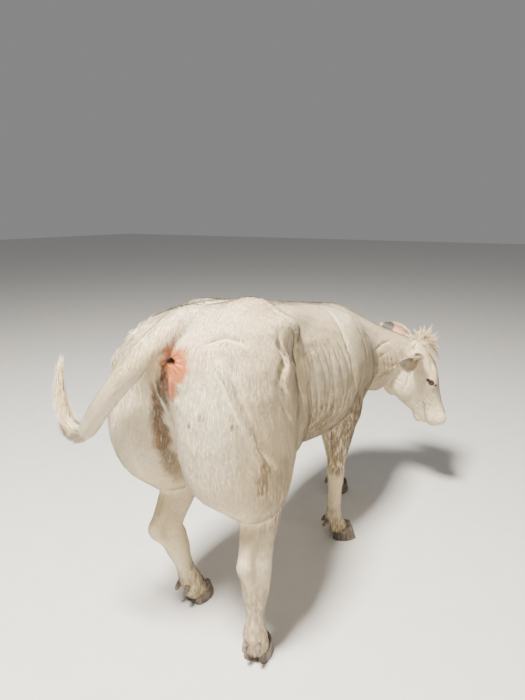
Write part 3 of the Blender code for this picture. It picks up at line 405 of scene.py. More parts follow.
# The stripe of stain down the cleft, dried soil, yellowed stretches of the coat, and rosy skin.
STAIN = [
    Patch("stain", at(x, y, z), (0.10, wide, 0.055), 0.5, 0.6, strength=strength)
    for x, y, z, wide, strength in (
        (-0.800, 0.050, 1.150, 0.012, 1.0), (-0.796, 0.072, 1.100, 0.014, 1.0),
        (-0.775, 0.112, 1.060, 0.017, 1.0), (-0.756, 0.126, 1.000, 0.017, 1.0),
        (-0.745, 0.128, 0.945, 0.017, 0.95), (-0.738, 0.130, 0.885, 0.016, 0.9),
        (-0.725, 0.132, 0.830, 0.016, 0.8), (-0.690, 0.133, 0.770, 0.016, 0.7),
        (-0.650, 0.134, 0.720, 0.022, 0.5))
]
MUD = [
    Patch(name, at(*centre), radii, soft, 0.5, strength=strength)
    for name, centre, radii, soft, strength in (
        ("thigh_spot", (-0.661, -0.251, 0.811), (0.040, 0.05, 0.048), 0.25, 0.85),
        ("dots_1", (-0.824, -0.062, 1.024), (0.03, 0.010, 0.010), 0.4, 0.8),
        ("dots_2", (-0.815, -0.106, 1.058), (0.03, 0.020, 0.017), 0.6, 0.7),
        ("dots_3", (-0.769, -0.191, 1.025), (0.03, 0.009, 0.010), 0.4, 0.8),
        ("smudge", (-0.820, -0.085, 1.038), (0.03, 0.050, 0.040), 0.6, 0.30),
        ("smudge_high", (-0.775, -0.143, 1.156), (0.04, 0.045, 0.035), 0.6, 0.22),
        ("thigh_front", (-0.56, -0.28, 0.72), (0.12, 0.08, 0.14), 0.6, 0.45),
        ("gaskin_right", (-0.50, -0.20, 0.58), (0.11, 0.12, 0.12), 0.6, 0.75),
        ("flank", (-0.07, -0.17, 0.76), (0.16, 0.12, 0.09), 0.6, 0.75),
        ("belly", (0.05, 0.03, 0.58), (0.55, 0.26, 0.09), 0.6, 0.50),
        ("elbow", (0.36, -0.17, 0.66), (0.16, 0.14, 0.16), 0.6, 0.95),
        ("cannon_right", (-0.612, -0.200, 0.22), (0.10, 0.10, 0.14), 0.5, 0.60),
        ("foot_right", (-0.600, -0.178, 0.06), (0.14, 0.12, 0.07), 0.5, 0.65),
        ("foot_left", (-0.450, 0.225, 0.09), (0.14, 0.12, 0.12), 0.5, 0.75),
        ("arm_right", (0.345, -0.130, 0.50), (0.12, 0.12, 0.16), 0.5, 0.90),
        ("fore_foot_right", (0.310, -0.140, 0.07), (0.14, 0.12, 0.10), 0.5, 0.75),
        ("arm_left", (0.650, 0.090, 0.44), (0.12, 0.12, 0.22), 0.5, 0.55),
        ("fore_foot_left", (0.730, 0.045, 0.08), (0.14, 0.12, 0.11), 0.5, 0.65))
]
WARM = [
    Patch(name, centre, radii, 0.7, 0.4, head, strength)
    for name, centre, radii, head, strength in (
        ("forehead", on_head(0.12, -0.02, -0.03), (0.14, 0.08, 0.09), True, 0.75),
        ("neck_right", at(0.74, -0.24, 0.98), (0.22, 0.16, 0.20), False, 0.45),
        ("flank_right", at(-0.05, -0.20, 0.84), (0.34, 0.12, 0.16), False, 0.60),
        ("haunch_right", at(-0.36, -0.24, 0.98), (0.13, 0.12, 0.26), False, 0.50),
        ("thigh_right", at(-0.62, -0.26, 0.78), (0.16, 0.12, 0.16), False, 0.45),
        ("shoulder_right", at(0.40, -0.24, 0.90), (0.14, 0.12, 0.20), False, 0.40),
        ("flank_left", at(-0.05, 0.22, 0.84), (0.34, 0.12, 0.16), False, 0.55),
        ("haunch_left", at(-0.36, 0.26, 0.98), (0.13, 0.12, 0.26), False, 0.45),
        ("rump", at(-0.80, 0.16, 1.02), (0.14, 0.06, 0.16), False, 0.35))
]
PINK_SKIN = [
    Patch("beside_tail", at(-0.765, -0.040, 1.250), (0.09, 0.085, 0.080), 0.5, 0.2, strength=0.35),
    Patch("udder", at(-0.30, 0.07, 0.66), (0.14, 0.10, 0.07), 0.4, 0.2, strength=0.6),
]


def ear_way(side: Side) -> tuple[Vector, Vector, Vector]:
    """How an ear stands on the head.

    Args:
        side: which ear.

    Returns:
        Its root, its long way and the way that its hollow faces.
    """
    left = head_axes()[2]
    back = Vector((-math.cos(HEAD_TURN), math.sin(HEAD_TURN), 0))
    up = Vector((0, 0, 1))
    if side == Side.LEFT:
        way, hollow = back * 0.82 + left * 0.20 + up * 0.44, -left * 0.8 - back * 0.1 + up * 0.55
    else:
        way, hollow = -left * 0.90 + back * 0.42 + up * 0.05, -up * 0.45 - back * 0.85
    way.normalize()
    return on_head(*EAR_ROOT[side.value]), way, (hollow - way * hollow.dot(way)).normalized()


def in_hollow(node: str, normal: np.ndarray) -> np.ndarray:
    """How far skin with these normals lies in the hollow of an ear, from 0 to 1."""
    return smooth_step(*HOLLOW_EDGE, normal @ np.array(ear_way(EARS[node])[2]))


def ear_patches(start: float, radius: float, strengths: tuple[float, float]) -> list[Patch]:
    """One ball-shaped patch in the hollow of each ear.

    Args:
        start: how far it is from the root.
        radius: its size.
        strengths: its strength in the left ear and in the right.

    Returns:
        Both patches, the left ear's first.
    """
    made = []
    for side, strength in zip(Side, strengths):
        root, way, hollow = ear_way(side)
        centre = root + way * start + hollow * 0.006
        made.append(Patch("ear", centre, (radius,) * 3, 0.25, 0.2, strength=strength))
    return made


def eye_axes(side: Side) -> tuple[Vector, Vector, Vector, Vector]:
    """How an eye stands in the head.

    Args:
        side: which eye.

    Returns:
        The ball's middle, the way it looks, along the slit and across it.
    """
    along, out, left = head_axes()
    look = (left * side.value + out * 0.22 + along * 0.10).normalized()
    level = along * 0.80 + out * 0.60
    level = (level - look * level.dot(look)).normalized()
    return middle("eye_" + side.name.lower()), look, level, look.cross(level)


# Half the length and height of the eye's opening, the patches of painted shade at its corners as place and
# size, and the line of the mouth that painted shade follows.
SLIT = (0.0200, 0.0112)
SLIT_ENDS = ((0.025, 0.0115), (-0.024, 0.0095), (0.034, 0.0070))
LIP_LINE = ((0.352, -0.108, 0.068), (0.385, -0.114, 0.067), (0.420, -0.119, 0.066), (0.452, -0.122, 0.058))


def crease_shade() -> list[Patch]:
    """Painted shade in the corners of each slit of the eyes, and along the crease of the mouth.

    Returns:
        The patches.
    """
    made = []
    for side in Side:
        centre, look, level, _ = eye_axes(side)
        for way, size in SLIT_ENDS:
            made.append(Patch("corner", centre + level * way + look * 0.012, (size,) * 3, 0.35, 0.1))
        for along, out, left in LIP_LINE:
            made.append(Patch("lips", on_head(along, out, left * side.value), (0.022, 0.0045, 0.02), 0.5, 0.1,
                              True, 0.55))
    return made


EAR_PINK = ear_patches(0.135, 0.050, (0.9, 0.25))
EAR_DARK = ear_patches(0.200, 0.040, (0.95, 0.30))
# Painted shade at the corners of the eyes and along the mouth.
CREASE_SHADE = crease_shade()


class Nodes:
    """Shorthand for building a node tree."""

    def __init__(self, tree: bpy.types.NodeTree) -> None:
        """Takes the tree that the nodes go in."""
        self.tree = tree

    def add(self, kind: str, inputs: dict | None = None, **values: object) -> bpy.types.Node:
        """Adds a node.

        Args:
            kind: the node's type without its ShaderNode prefix.
            inputs: socket name or number to a value or to another node's output.
            values: the node's own settings.

        Returns:
            The new node.
        """
        node = self.tree.nodes.new("ShaderNode" + kind)
        for name, value in values.items():
            setattr(node, name, value)
        for key, value in (inputs or {}).items():
            self.give(node, key, value)
        return node

    def give(self, node: bpy.types.Node, key: str | int, value: object) -> None:
        """Gives a node's input a value, or links it to another node's output.

        Args:
            node: the node.
            key: the input's name or number.
            value: the value or the output.
        """
        if isinstance(value, bpy.types.NodeSocket):
            self.tree.links.new(value, node.inputs[key])
        else:
            node.inputs[key].default_value = value

    def math(self, operation: str, a: object, b: object = 0.0) -> bpy.types.NodeSocket:
        """The output of a Math node."""
        return self.add("Math", {0: a, 1: b}, operation=operation).outputs[0]

    def times(self, a: object, b: object) -> bpy.types.NodeSocket:
        """Two values multiplied."""
        return self.math("MULTIPLY", a, b)

    def mix(self, factor: object, a: object, b: object, blend: str = "MIX") -> bpy.types.NodeSocket:
        """The output of a colour mix."""
        return self.add("Mix", {0: factor, 6: a, 7: b}, data_type="RGBA", blend_type=blend).outputs[2]

    def noise(self, where: object, scale: float, detail: float = 4.0) -> bpy.types.NodeSocket:
        """The value of a noise texture."""
        return self.add("TexNoise", {"Vector": where, "Scale": scale, "Detail": detail}).outputs[0]

    def stretched(self, where: object, scales: tuple[float, float, float]) -> bpy.types.NodeSocket:
        """The value of a noise texture with its own scale along X, Y and Z."""
        return self.noise(self.add("Mapping", {"Vector": where, "Scale": scales}).outputs[0], 1.0)

    def ramp(self, value: object, low: float, high: float) -> bpy.types.NodeSocket:
        """A value brought from low..high to 0..1 with soft ends."""
        return self.add("MapRange", {0: value, 1: low, 2: high}, interpolation_type="SMOOTHSTEP").outputs[0]

    def fade(self, value: object, low: float, high: float, start: float, end: float) -> bpy.types.NodeSocket:
        """A value brought from low..high to start..end in a straight line."""
        return self.add("MapRange", {0: value, 1: low, 2: high, 3: start, 4: end}).outputs[0]

    def offset(self, where: object, place: Vector) -> bpy.types.NodeSocket:
        """How far a position is from a place, as a vector."""
        return self.add("VectorMath", {0: where, 1: tuple(place)}, operation="SUBTRACT").outputs[0]

    def along(self, offset: object, way: Vector) -> bpy.types.NodeSocket:
        """How far an offset goes along a way."""
        return self.add("VectorMath", {0: offset, 1: tuple(way)}, operation="DOT_PRODUCT").outputs[1]

    def bump(self, shader: bpy.types.Node, height: object, distance: float, strength: float = 0.5) -> None:
        """Lets a height between 0 and 1 shape a shader's surface."""
        bump = self.add("Bump", {"Height": height, "Strength": strength, "Distance": distance})
        self.give(shader, "Normal", bump.outputs[0])


def patch_mask(nodes: Nodes, where: object, ragged: object, patches: list[Patch]) -> bpy.types.NodeSocket:
    """The largest of several patches, as nodes.

    Args:
        nodes: the tree.
        where: the position.
        ragged: a noise about 0.5 that moves the edges.
        patches: the patches.

    Returns:
        The mask, from 0 to 1.
    """
    total: object = 0.0
    shift = nodes.math("SUBTRACT", ragged, 0.5)
    for patch in patches:
        offset = nodes.offset(where, patch.centre)
        if patch.head:
            parts = [nodes.along(offset, way) for way in head_axes()]
            offset = nodes.add("CombineXYZ", dict(enumerate(parts))).outputs[0]
        scaled = nodes.add("VectorMath", {0: offset, 1: patch.radii}, operation="DIVIDE").outputs[0]
        reach = nodes.add("VectorMath", {0: scaled}, operation="LENGTH").outputs[1]
        reach = nodes.math("ADD", reach, nodes.times(shift, patch.ragged * 4))
        ends = {0: reach, 1: 1 - patch.soft, 2: 1 + patch.soft, 3: patch.strength, 4: 0.0}
        mask = nodes.add("MapRange", ends, interpolation_type="SMOOTHSTEP").outputs[0]
        total = nodes.math("MAXIMUM", total, mask)
    return total


def new_group(name: str, inputs: dict, outputs: dict) -> bpy.types.NodeTree:
    """A shader node group with its sockets.

    Args:
        name: the group's name.
        inputs: socket name to socket type.
        outputs: socket name to socket type.

    Returns:
        The node tree.
    """
    group = bpy.data.node_groups.new(name, "ShaderNodeTree")
    for way, sockets in (("INPUT", inputs), ("OUTPUT", outputs)):
        for title, kind in sockets.items():
            group.interface.new_socket(title, in_out=way, socket_type=kind)
    return group


# Colours of hair, soil and skin, and the near-black of painted shade.
CREAM_LIGHT = (0.86, 0.76, 0.57, 1)
CREAM = (0.82, 0.67, 0.43, 1)
CREAM_DARK = (0.62, 0.45, 0.24, 1)
DUSTY = (0.58, 0.42, 0.21, 1)
SOIL = (0.24, 0.155, 0.075, 1)
ROSY = (0.78, 0.46, 0.34, 1)
FLUSHED = (0.46, 0.105, 0.014, 1)
FLUSHED_DARK = (0.30, 0.050, 0.008, 1)
MUZZLE = (0.80, 0.58, 0.50, 1)
STAIN_BLACK = (0.055, 0.032, 0.016, 1)
STAIN_BROWN = (0.34, 0.145, 0.055, 1)
SHADE_BLACK = (0.020, 0.010, 0.008, 1)
EAR_ROSE = (0.82, 0.42, 0.33, 1)
EAR_GREY = (0.085, 0.085, 0.095, 1)


def markings_group() -> bpy.types.NodeTree:
    """The coat's colours by place: cream, soiled stretches, stain, where the skin is bare, and painted shade
    in openings and creases.

    Returns:
        A group that takes a position and how far it is in an ear's hollow.
    """
    group = new_group("markings", {"Position": "NodeSocketVector", "Inside": "NodeSocketFloat"},
                      {"Colour": "NodeSocketColor", "Bare": "NodeSocketFloat"})
    nodes = Nodes(group)
    entry, leave = group.nodes.new("NodeGroupInput"), group.nodes.new("NodeGroupOutput")
    where, inside = entry.outputs["Position"], entry.outputs["Inside"]
    ragged = nodes.noise(where, 16.0, 5.0)
    streaky = nodes.stretched(where, (90, 90, 22))
    warm, mud, stain, rosy, under, nose, dark, ear_pink, ear_dark = (
        patch_mask(nodes, where, ragged, patches) for patches in (
            WARM, MUD, STAIN, PINK_SKIN + EYE_SKIN, UNDER_TAIL, BARE, SHADED_OPENINGS + CREASE_SHADE, EAR_PINK, EAR_DARK))
    height = nodes.add("SeparateXYZ", {0: where}).outputs[2]
    low = nodes.times(nodes.fade(height, 1.00, 0.45, 0.0, 0.55), nodes.fade(height, 0.62, 0.52, 1.0, 0.12))
    flushed = nodes.mix(nodes.ramp(ragged, 0.35, 0.70), FLUSHED, FLUSHED_DARK)
    brown = nodes.mix(nodes.ramp(streaky, 0.46, 0.66), STAIN_BLACK, STAIN_BROWN)
    pale = nodes.times(ear_pink, inside)
    colour = nodes.mix(nodes.ramp(nodes.noise(where, 3.0, 3.0), 0.35, 0.70), CREAM_LIGHT, CREAM)
    for amount, tint in (
            (nodes.times(nodes.ramp(nodes.noise(where, 70.0, 3.0), 0.45, 0.75), 0.30), CREAM_DARK),
            (nodes.times(low, nodes.ramp(streaky, 0.20, 0.75)), DUSTY),
            (nodes.times(warm, nodes.ramp(streaky, 0.15, 0.70)), CREAM_DARK),
            (nodes.times(mud, nodes.ramp(streaky, 0.34, 0.58)), SOIL),
            (rosy, ROSY),
            (nodes.times(under, 0.92), flushed),
            (nose, MUZZLE),
            (nodes.times(nodes.times(stain, nodes.ramp(streaky, 0.20, 0.46)), 0.93), brown),
            # Painted shade: near-black in the openings of the vent and nostrils, the corners of the eyes and
            # along the mouth.
            (dark, SHADE_BLACK),
            (pale, EAR_ROSE),
            (nodes.times(ear_dark, inside), EAR_GREY)):
        colour = nodes.mix(amount, colour, tint)
    nodes.give(leave, "Colour", colour)
    bare = nose
    for other in (under, rosy, pale):
        bare = nodes.math("MAXIMUM", bare, other)
    nodes.give(leave, "Bare", bare)
    return group


@dataclass(frozen=True)
class Finish:
    """A material with its name and plain roughness."""

    name: str
    roughness: float = 0.6

    def start(self) -> tuple[bpy.types.Material, Nodes, bpy.types.Node, bpy.types.NodeSocket]:
        """A new material with a Principled shader and the place on the object.

        Returns:
            The material, its node shorthand, the shader and the Object coordinate.
        """
        material = bpy.data.materials.new(self.name)
        material.use_nodes = True
        nodes = Nodes(material.node_tree)
        shader = material.node_tree.nodes["Principled BSDF"]
        shader.inputs["Roughness"].default_value = self.roughness
        where = nodes.add("TexCoord").outputs["Object"]
        return material, nodes, shader, where

    @staticmethod
    def marks(nodes: Nodes, markings: bpy.types.NodeTree, where: bpy.types.NodeSocket) -> bpy.types.Node:
        """The markings at a place, with the ears' hollows told by the mesh."""
        inside = nodes.add("Attribute", attribute_name="inside").outputs["Fac"]
        return nodes.add("Group", {0: where, 1: inside}, node_tree=markings)


@dataclass(frozen=True)
class SkinFinish(Finish):
    """Short coat over skin, with the muzzle and other bare places moist and pebbled."""

    dry: float = 0.72
    moist: float = 0.38

    def build(self, markings: bpy.types.NodeTree) -> bpy.types.Material:
        """Makes the material.

        Args:
            markings: the coat's colours by place.

        Returns:
            The material.
        """
        material, nodes, shader, where = self.start()
        marks = self.marks(nodes, markings, where)
        colour, bare = marks.outputs["Colour"], marks.outputs["Bare"]
        hair = nodes.stretched(where, (60, 190, 45))
        shade = nodes.mix(nodes.ramp(hair, 0.3, 0.7), (0.84, 0.83, 0.80, 1), (1.04, 1.04, 1.04, 1))
        nodes.give(shader, "Base Color", nodes.mix(bare, nodes.mix(1.0, colour, shade, "MULTIPLY"), colour))
        nodes.give(shader, "Roughness", nodes.fade(bare, 0.0, 1.0, self.dry, self.moist))
        pebbles = nodes.add("TexVoronoi", {"Vector": where, "Scale": 240.0}).outputs[0]
        relief = nodes.math("ADD", nodes.times(pebbles, 0.6), nodes.noise(where, 120.0))
        nodes.bump(shader, nodes.add("Mix", {0: bare, 2: hair, 3: relief}).outputs[0], 0.002)
        return material


@dataclass(frozen=True)
class HairFinish(Finish):
    """Hair that takes the coat's colours at its place, each tuft in its own tone."""

    lighten: float = 1.0
    shadow: tuple[float, float, float] = (0.68, 0.65, 0.58)
    shine: tuple[float, float, float] = (1.12, 1.12, 1.12)

    def build(self, markings: bpy.types.NodeTree) -> bpy.types.Material:
        """Makes the material.

        Args:
            markings: the coat's colours by place.

        Returns:
            The material.
        """
        material, nodes, shader, where = self.start()
        marks = self.marks(nodes, markings, where)
        tone = nodes.add("Attribute", attribute_name="tone").outputs["Fac"]
        ends = [(*(part * self.lighten for part in tint), 1) for tint in (self.shadow, self.shine)]
        tint = nodes.mix(1.0, marks.outputs["Colour"], nodes.mix(tone, *ends), "MULTIPLY")
        nodes.give(shader, "Base Color", tint)
        nodes.give(shader, "Sheen Weight", 0.15)
        return material


@dataclass(frozen=True)
class HornFinish(Finish):
    """Claw horn: dark, ringed by growth, soiled and dull."""

    dark: tuple[float, float, float] = (0.060, 0.045, 0.034)
    light: tuple[float, float, float] = (0.17, 0.13, 0.095)
    dust: tuple[float, float, float] = (0.24, 0.19, 0.13)

    def build(self) -> bpy.types.Material:
        """Makes the material.

        Returns:
            The material.
        """
        material, nodes, shader, where = self.start()
        height = nodes.add("SeparateXYZ", {0: where}).outputs[2]
        wobble = nodes.times(nodes.noise(where, 30.0, 3.0), 9.0)
        rings = nodes.math("SINE", nodes.math("ADD", nodes.times(height, 900.0), wobble))
        grain = nodes.stretched(where, (220, 220, 25))
        colour = nodes.mix(nodes.ramp(grain, 0.35, 0.7), (*self.dark, 1), (*self.light, 1))
        dusty = nodes.times(nodes.ramp(nodes.noise(where, 45.0, 6.0), 0.45, 0.65), 0.7)
        nodes.give(shader, "Base Color", nodes.mix(dusty, colour, (*self.dust, 1)))
        nodes.bump(shader, nodes.math("ADD", nodes.times(rings, 0.25), grain), 0.0015, 0.6)
        return material


@dataclass(frozen=True)
class PlainFinish(Finish):
    """One colour with a little mottling, for lids and the floor."""

    colour: tuple[float, float, float] = (0.8, 0.8, 0.8)
    dark: float = 0.85
    scale: float = 60.0
    relief: float = 0.0005

    def build(self) -> bpy.types.Material:
        """Makes the material.

        Returns:
            The material.
        """
        material, nodes, shader, where = self.start()
        mottle = nodes.noise(where, self.scale)
        dark = (*(part * self.dark for part in self.colour), 1)
        nodes.give(shader, "Base Color", nodes.mix(nodes.ramp(mottle, 0.35, 0.65), (*self.colour, 1), dark))
        nodes.bump(shader, mottle, self.relief)
        return material


@dataclass(frozen=True)
class EyeFinish(Finish):
    """A wet dark brown eye with a level, oval pupil and a pale rim."""

    roughness: float = 0.06
    pupil: tuple[float, float] = (0.0095, 0.0048)

    def build(self, centre: Vector, look: Vector, level: Vector) -> bpy.types.Material:
        """Makes the material of one eye.

        Args:
            centre: the ball's middle.
            look: the way that the eye looks.
            level: the long way of its pupil.

        Returns:
            The material.
        """
        material, nodes, shader, where = self.start()
        offset = nodes.offset(where, centre)
        wide, high, deep = (nodes.along(offset, way) for way in (level, look.cross(level), look))
        ring, oval = (self.reach(nodes, (wide, high), sizes) for sizes in ((1.0, 1.0), self.pupil))
        streak = nodes.stretched(offset, (400, 400, 400))
        iris = nodes.mix(streak, (0.022, 0.012, 0.008, 1), (0.060, 0.032, 0.018, 1))
        colour = nodes.mix(nodes.ramp(oval, 0.85, 1.15), (0.004, 0.004, 0.006, 1), iris)
        colour = nodes.mix(nodes.ramp(ring, 0.0155, 0.0175), colour, (0.16, 0.10, 0.085, 1))
        colour = nodes.mix(nodes.ramp(deep, 0.004, -0.004), colour, (0.60, 0.42, 0.38, 1))
        for key, value in (("Base Color", colour), ("Coat Weight", 1.0), ("Coat Roughness", 0.02)):
            nodes.give(shader, key, value)
        return material

    @staticmethod
    def reach(nodes: Nodes, parts: tuple, sizes: tuple[float, float]) -> bpy.types.NodeSocket:
        """How far out a point is, as 1 on the rim of an oval of the given half lengths."""
        squares = [nodes.math("POWER", nodes.math("DIVIDE", *pair), 2.0) for pair in zip(parts, sizes)]
        return nodes.math("SQRT", nodes.math("ADD", *squares))


class Hair:
    """Collects closed tufts and locks as arrays and makes them into pieces.

    Each tuft keeps a small patch of the map named OFBake at its root's place on the skin's unwrap.
    """

    PATCH = 0.003

    def __init__(self) -> None:
        """Starts empty."""
        self.points: list[np.ndarray] = []
        self.faces: list[np.ndarray] = []
        self.maps: list[np.ndarray] = []
        self.tones: list[np.ndarray] = []
        self.inside: float | np.ndarray = 0.0
        self.shading: float | np.ndarray = 0.0

    def add(self, points: np.ndarray, faces: np.ndarray, shape: np.ndarray, roots: np.ndarray,
            tones: np.ndarray) -> None:
        """Adds many tufts of one build.

        Args:
            points: tufts by points by 3.
            faces: triangles of one tuft, as point numbers.
            shape: the place of each point in the tuft's patch, from 0 to 1, points by 2.
            roots: the roots' places on the unwrap, tufts by 2.
            tones: tufts by points, from 0 dark to 1 light.
        """
        self.points.append(points)
        self.faces.append(faces)
        self.maps.append(roots[:, None, :] + (shape[None] - 0.5) * self.PATCH)
        self.tones.append(tones)

    def build(self, name: str, material: bpy.types.Material, slot: str, limit: int = 190000) -> None:
        """Makes the pieces, each under the limit of triangles.

        Args:
            name: the first part of their names.
            material: their material.
            slot: the record's slot.
            limit: the most triangles of one piece.
        """
        count = 0
        for points, faces, maps, tones in zip(self.points, self.faces, self.maps, self.tones):
            most = limit // len(faces)
            for start in range(0, len(points), most):
                part = slice(start, start + most)
                some = points[part]
                shift = (np.arange(len(some)) * some.shape[1])[:, None, None]
                corners = (faces[None] + shift).reshape(-1, 3)
                count += 1
                obj = mesh_piece(f"{name}_{count}", some.reshape(-1, 3), corners)
                flat = np.clip(maps[part].reshape(-1, 2), 0.001, 0.999)[corners.ravel()]
                obj.data.uv_layers.new(name="OFBake").data.foreach_set("uv", flat.astype(np.float32).ravel())
                mark(obj, "tone", tones[part])
                if np.ndim(self.shading):
                    held = np.repeat(self.shading[part], some.shape[1], axis=0)
                    obj.data.normals_split_custom_set_from_vertices(held)
                if np.ndim(self.inside):
                    mark(obj, "inside", np.repeat(self.inside[part], some.shape[1]))
                obj.data.materials.append(material)
                settle(obj, slot)


TUFT_FACES = np.array([(0, 2, 1), (1, 2, 3), (0, 1, 3), (0, 3, 2)])
TUFT_MAP = np.array([(0.5, 0.0), (0.0, 0.4), (1.0, 0.4), (0.5, 1.0)])
ROOT_DEPTH = 0.0012


def add_tufts(hair: Hair, place: np.ndarray, normal: np.ndarray, way: np.ndarray, length: np.ndarray,
              width: np.ndarray, lift: np.ndarray, roots: np.ndarray, tone: np.ndarray) -> None:
    """Adds short leaf-shaped tufts that lie along the skin.

    Args:
        hair: where they go.
        place: where they grow.
        normal: the skin's normals there.
        way: the ways that the tufts lie, along the skin.
        length: their lengths.
        width: their greatest widths.
        lift: how far the tips stand off the skin.
        roots: the roots on the unwrap.
        tone: a tone for each, from 0 to 1.
    """
    side = np.cross(normal, way)
    half = (width / 2)[:, None]
    body = (lift * 0.55)[:, None]
    long = length[:, None]
    low = place - normal * ROOT_DEPTH
    left = place + way * long * 0.4 + side * half + normal * body
    right = place + way * long * 0.4 - side * half + normal * body
    tip = place + way * long + normal * lift[:, None]
    tones = np.stack([tone * 0.5, tone, tone, np.minimum(1, tone + 0.25)], axis=1)
    hair.add(np.stack([low, left, right, tip], axis=1), TUFT_FACES, TUFT_MAP, roots, tones)


def add_locks(hair: Hair, paths: np.ndarray, width: np.ndarray, thick: np.ndarray, up: np.ndarray,
              roots: np.ndarray, tone: np.ndarray) -> None:
    """Adds bent, flat, tapered locks of three sides.

    Args:
        hair: where they go.
        paths: locks by stations by 3, from the root to the tip.
        width: the greatest width of each.
        thick: the greatest thickness of each.
        up: a way for each that its thickness is measured along.
        roots: the roots on the unwrap.
        tone: a tone for each, from 0 to 1.
    """
    count, stations = paths.shape[:2]
    ahead = unit(np.gradient(paths, axis=1))
    normal = unit(up[:, None, :] - ahead * np.sum(ahead * up[:, None, :], axis=2, keepdims=True))
    side = np.cross(normal, ahead)
    t = np.linspace(0, 1, stations)
    taper = (0.55 + 0.9 * t) * np.clip(1.05 - t, 0.02, 1) ** 0.8
    turns = [2 * math.pi * k / 3 for k in range(3)]
    rings = [paths[:, :-1] + side[:, :-1] * (math.cos(a) * width[:, None] * taper[:-1] / 2)[..., None]
             + normal[:, :-1] * (math.sin(a) * thick[:, None] * taper[:-1] / 2)[..., None] for a in turns]
    around = np.stack(rings, axis=2).reshape(count, -1, 3)
    points = np.concatenate([around, paths[:, -1:]], axis=1)
    faces = [(0, 2, 1)]
    for i, k in product(range(stations - 2), range(3)):
        a, b = i * 3 + k, i * 3 + (k + 1) % 3
        faces += [(a, b, b + 3), (a, b + 3, a + 3)]
    last = (stations - 2) * 3
    faces += [(last + k, last + (k + 1) % 3, last + 3) for k in range(3)]
    shape = [(0.5 + 0.5 * math.cos(a), i / stations) for i in range(stations - 1) for a in turns]
    shape.append((0.5, 1.0))
    tones = tone[:, None] * 0.8 + 0.2 * np.concatenate([np.repeat(t[:-1], 3), [1.0]])[None]
    hair.add(points, np.array(faces), np.array(shape), roots, tones)


@dataclass(frozen=True)
class Fold:
    """A groove, or a ridge where the depth is negative, drawn on the skin through a few places."""

    width: float
    depth: float
    path: tuple[Vector, ...]


def spine(x: float) -> float:
    """The place of the bent spine to the left of the middle, at x."""
    return float(np.interp(x, SPINE_AT, SPINE_LEFT))


def folds_of_both_sides() -> list[Fold]:
    """The seams between the muscles of rump, thigh, shoulder and flank, and the slack folds over the ribs.

    Returns:
        The folds, each on both sides of the spine.
    """
    seam = [(-0.748, -0.126, 1.228), (-0.746, -0.161, 1.171), (-0.744, -0.178, 1.129),
            (-0.737, -0.195, 1.085), (-0.722, -0.211, 1.034), (-0.699, -0.233, 0.952),
            (-0.670, -0.243, 0.900), (-0.639, -0.252, 0.849)]
    right = [
        (0.017, -0.0110, seam),
        (0.030, 0.0110, [(x + 0.030, y - 0.014, z + 0.004) for x, y, z in seam]),
        (0.030, 0.0080, [(-0.335, -0.079, 1.363), (-0.310, -0.178, 1.285), (-0.245, -0.189, 1.139),
                         (-0.248, -0.198, 1.073), (-0.230, -0.200, 0.980)]),
        (0.016, 0.0060, [(-0.743, -0.081, 1.272), (-0.727, -0.082, 1.282), (-0.710, -0.092, 1.287),
                         (-0.672, -0.114, 1.292), (-0.641, -0.144, 1.279), (-0.626, -0.161, 1.264)]),
        (0.022, 0.0090, [(-0.413, -0.140, 1.311), (-0.412, -0.181, 1.240), (-0.360, -0.197, 1.153),
                         (-0.300, -0.185, 1.054), (-0.300, -0.195, 0.986), (-0.416, -0.244, 0.960)]),
        (0.030, 0.0100, [(-0.463, -0.178, 1.250), (-0.423, -0.199, 1.188), (-0.431, -0.208, 1.168),
                         (-0.484, -0.216, 1.159), (-0.499, -0.232, 1.123), (-0.489, -0.243, 1.071)]),
        (0.028, 0.0070, [(0.235, -0.080, 1.240), (0.190, -0.230, 1.080), (0.245, -0.245, 0.880)]),
        (0.024, 0.0070, [(0.530, -0.030, 1.210), (0.560, -0.160, 1.030), (0.600, -0.175, 0.800)]),
        (0.016, 0.0045, [(0.400, -0.090, 1.205), (0.385, -0.190, 1.100), (0.410, -0.230, 0.980)]),
        (0.014, 0.0035, [(0.330, -0.230, 0.760), (0.300, -0.240, 0.850), (0.330, -0.250, 0.930)]),
    ]
    for i, start in enumerate((-0.205, -0.165, -0.120, -0.078, -0.030, 0.015, 0.065, 0.120, 0.165)):
        path = []
        for k in range(8):
            z = 1.17 - 0.048 * k - 0.018 * (i % 3)
            path.append((start + 0.008 * k + 0.010 * math.sin(0.7 * k + 1.7 * i), -0.30, z))
        right.append((0.018 + 0.004 * (i % 3), 0.0060 + 0.0020 * (i % 2), path))
    made = []
    for width, depth, path in right:
        made.append(Fold(width, depth, tuple(at(*p) for p in path)))
        made.append(Fold(width, depth, tuple(at(x, 2 * spine(x) - y, z) for x, y, z in path)))
    return made


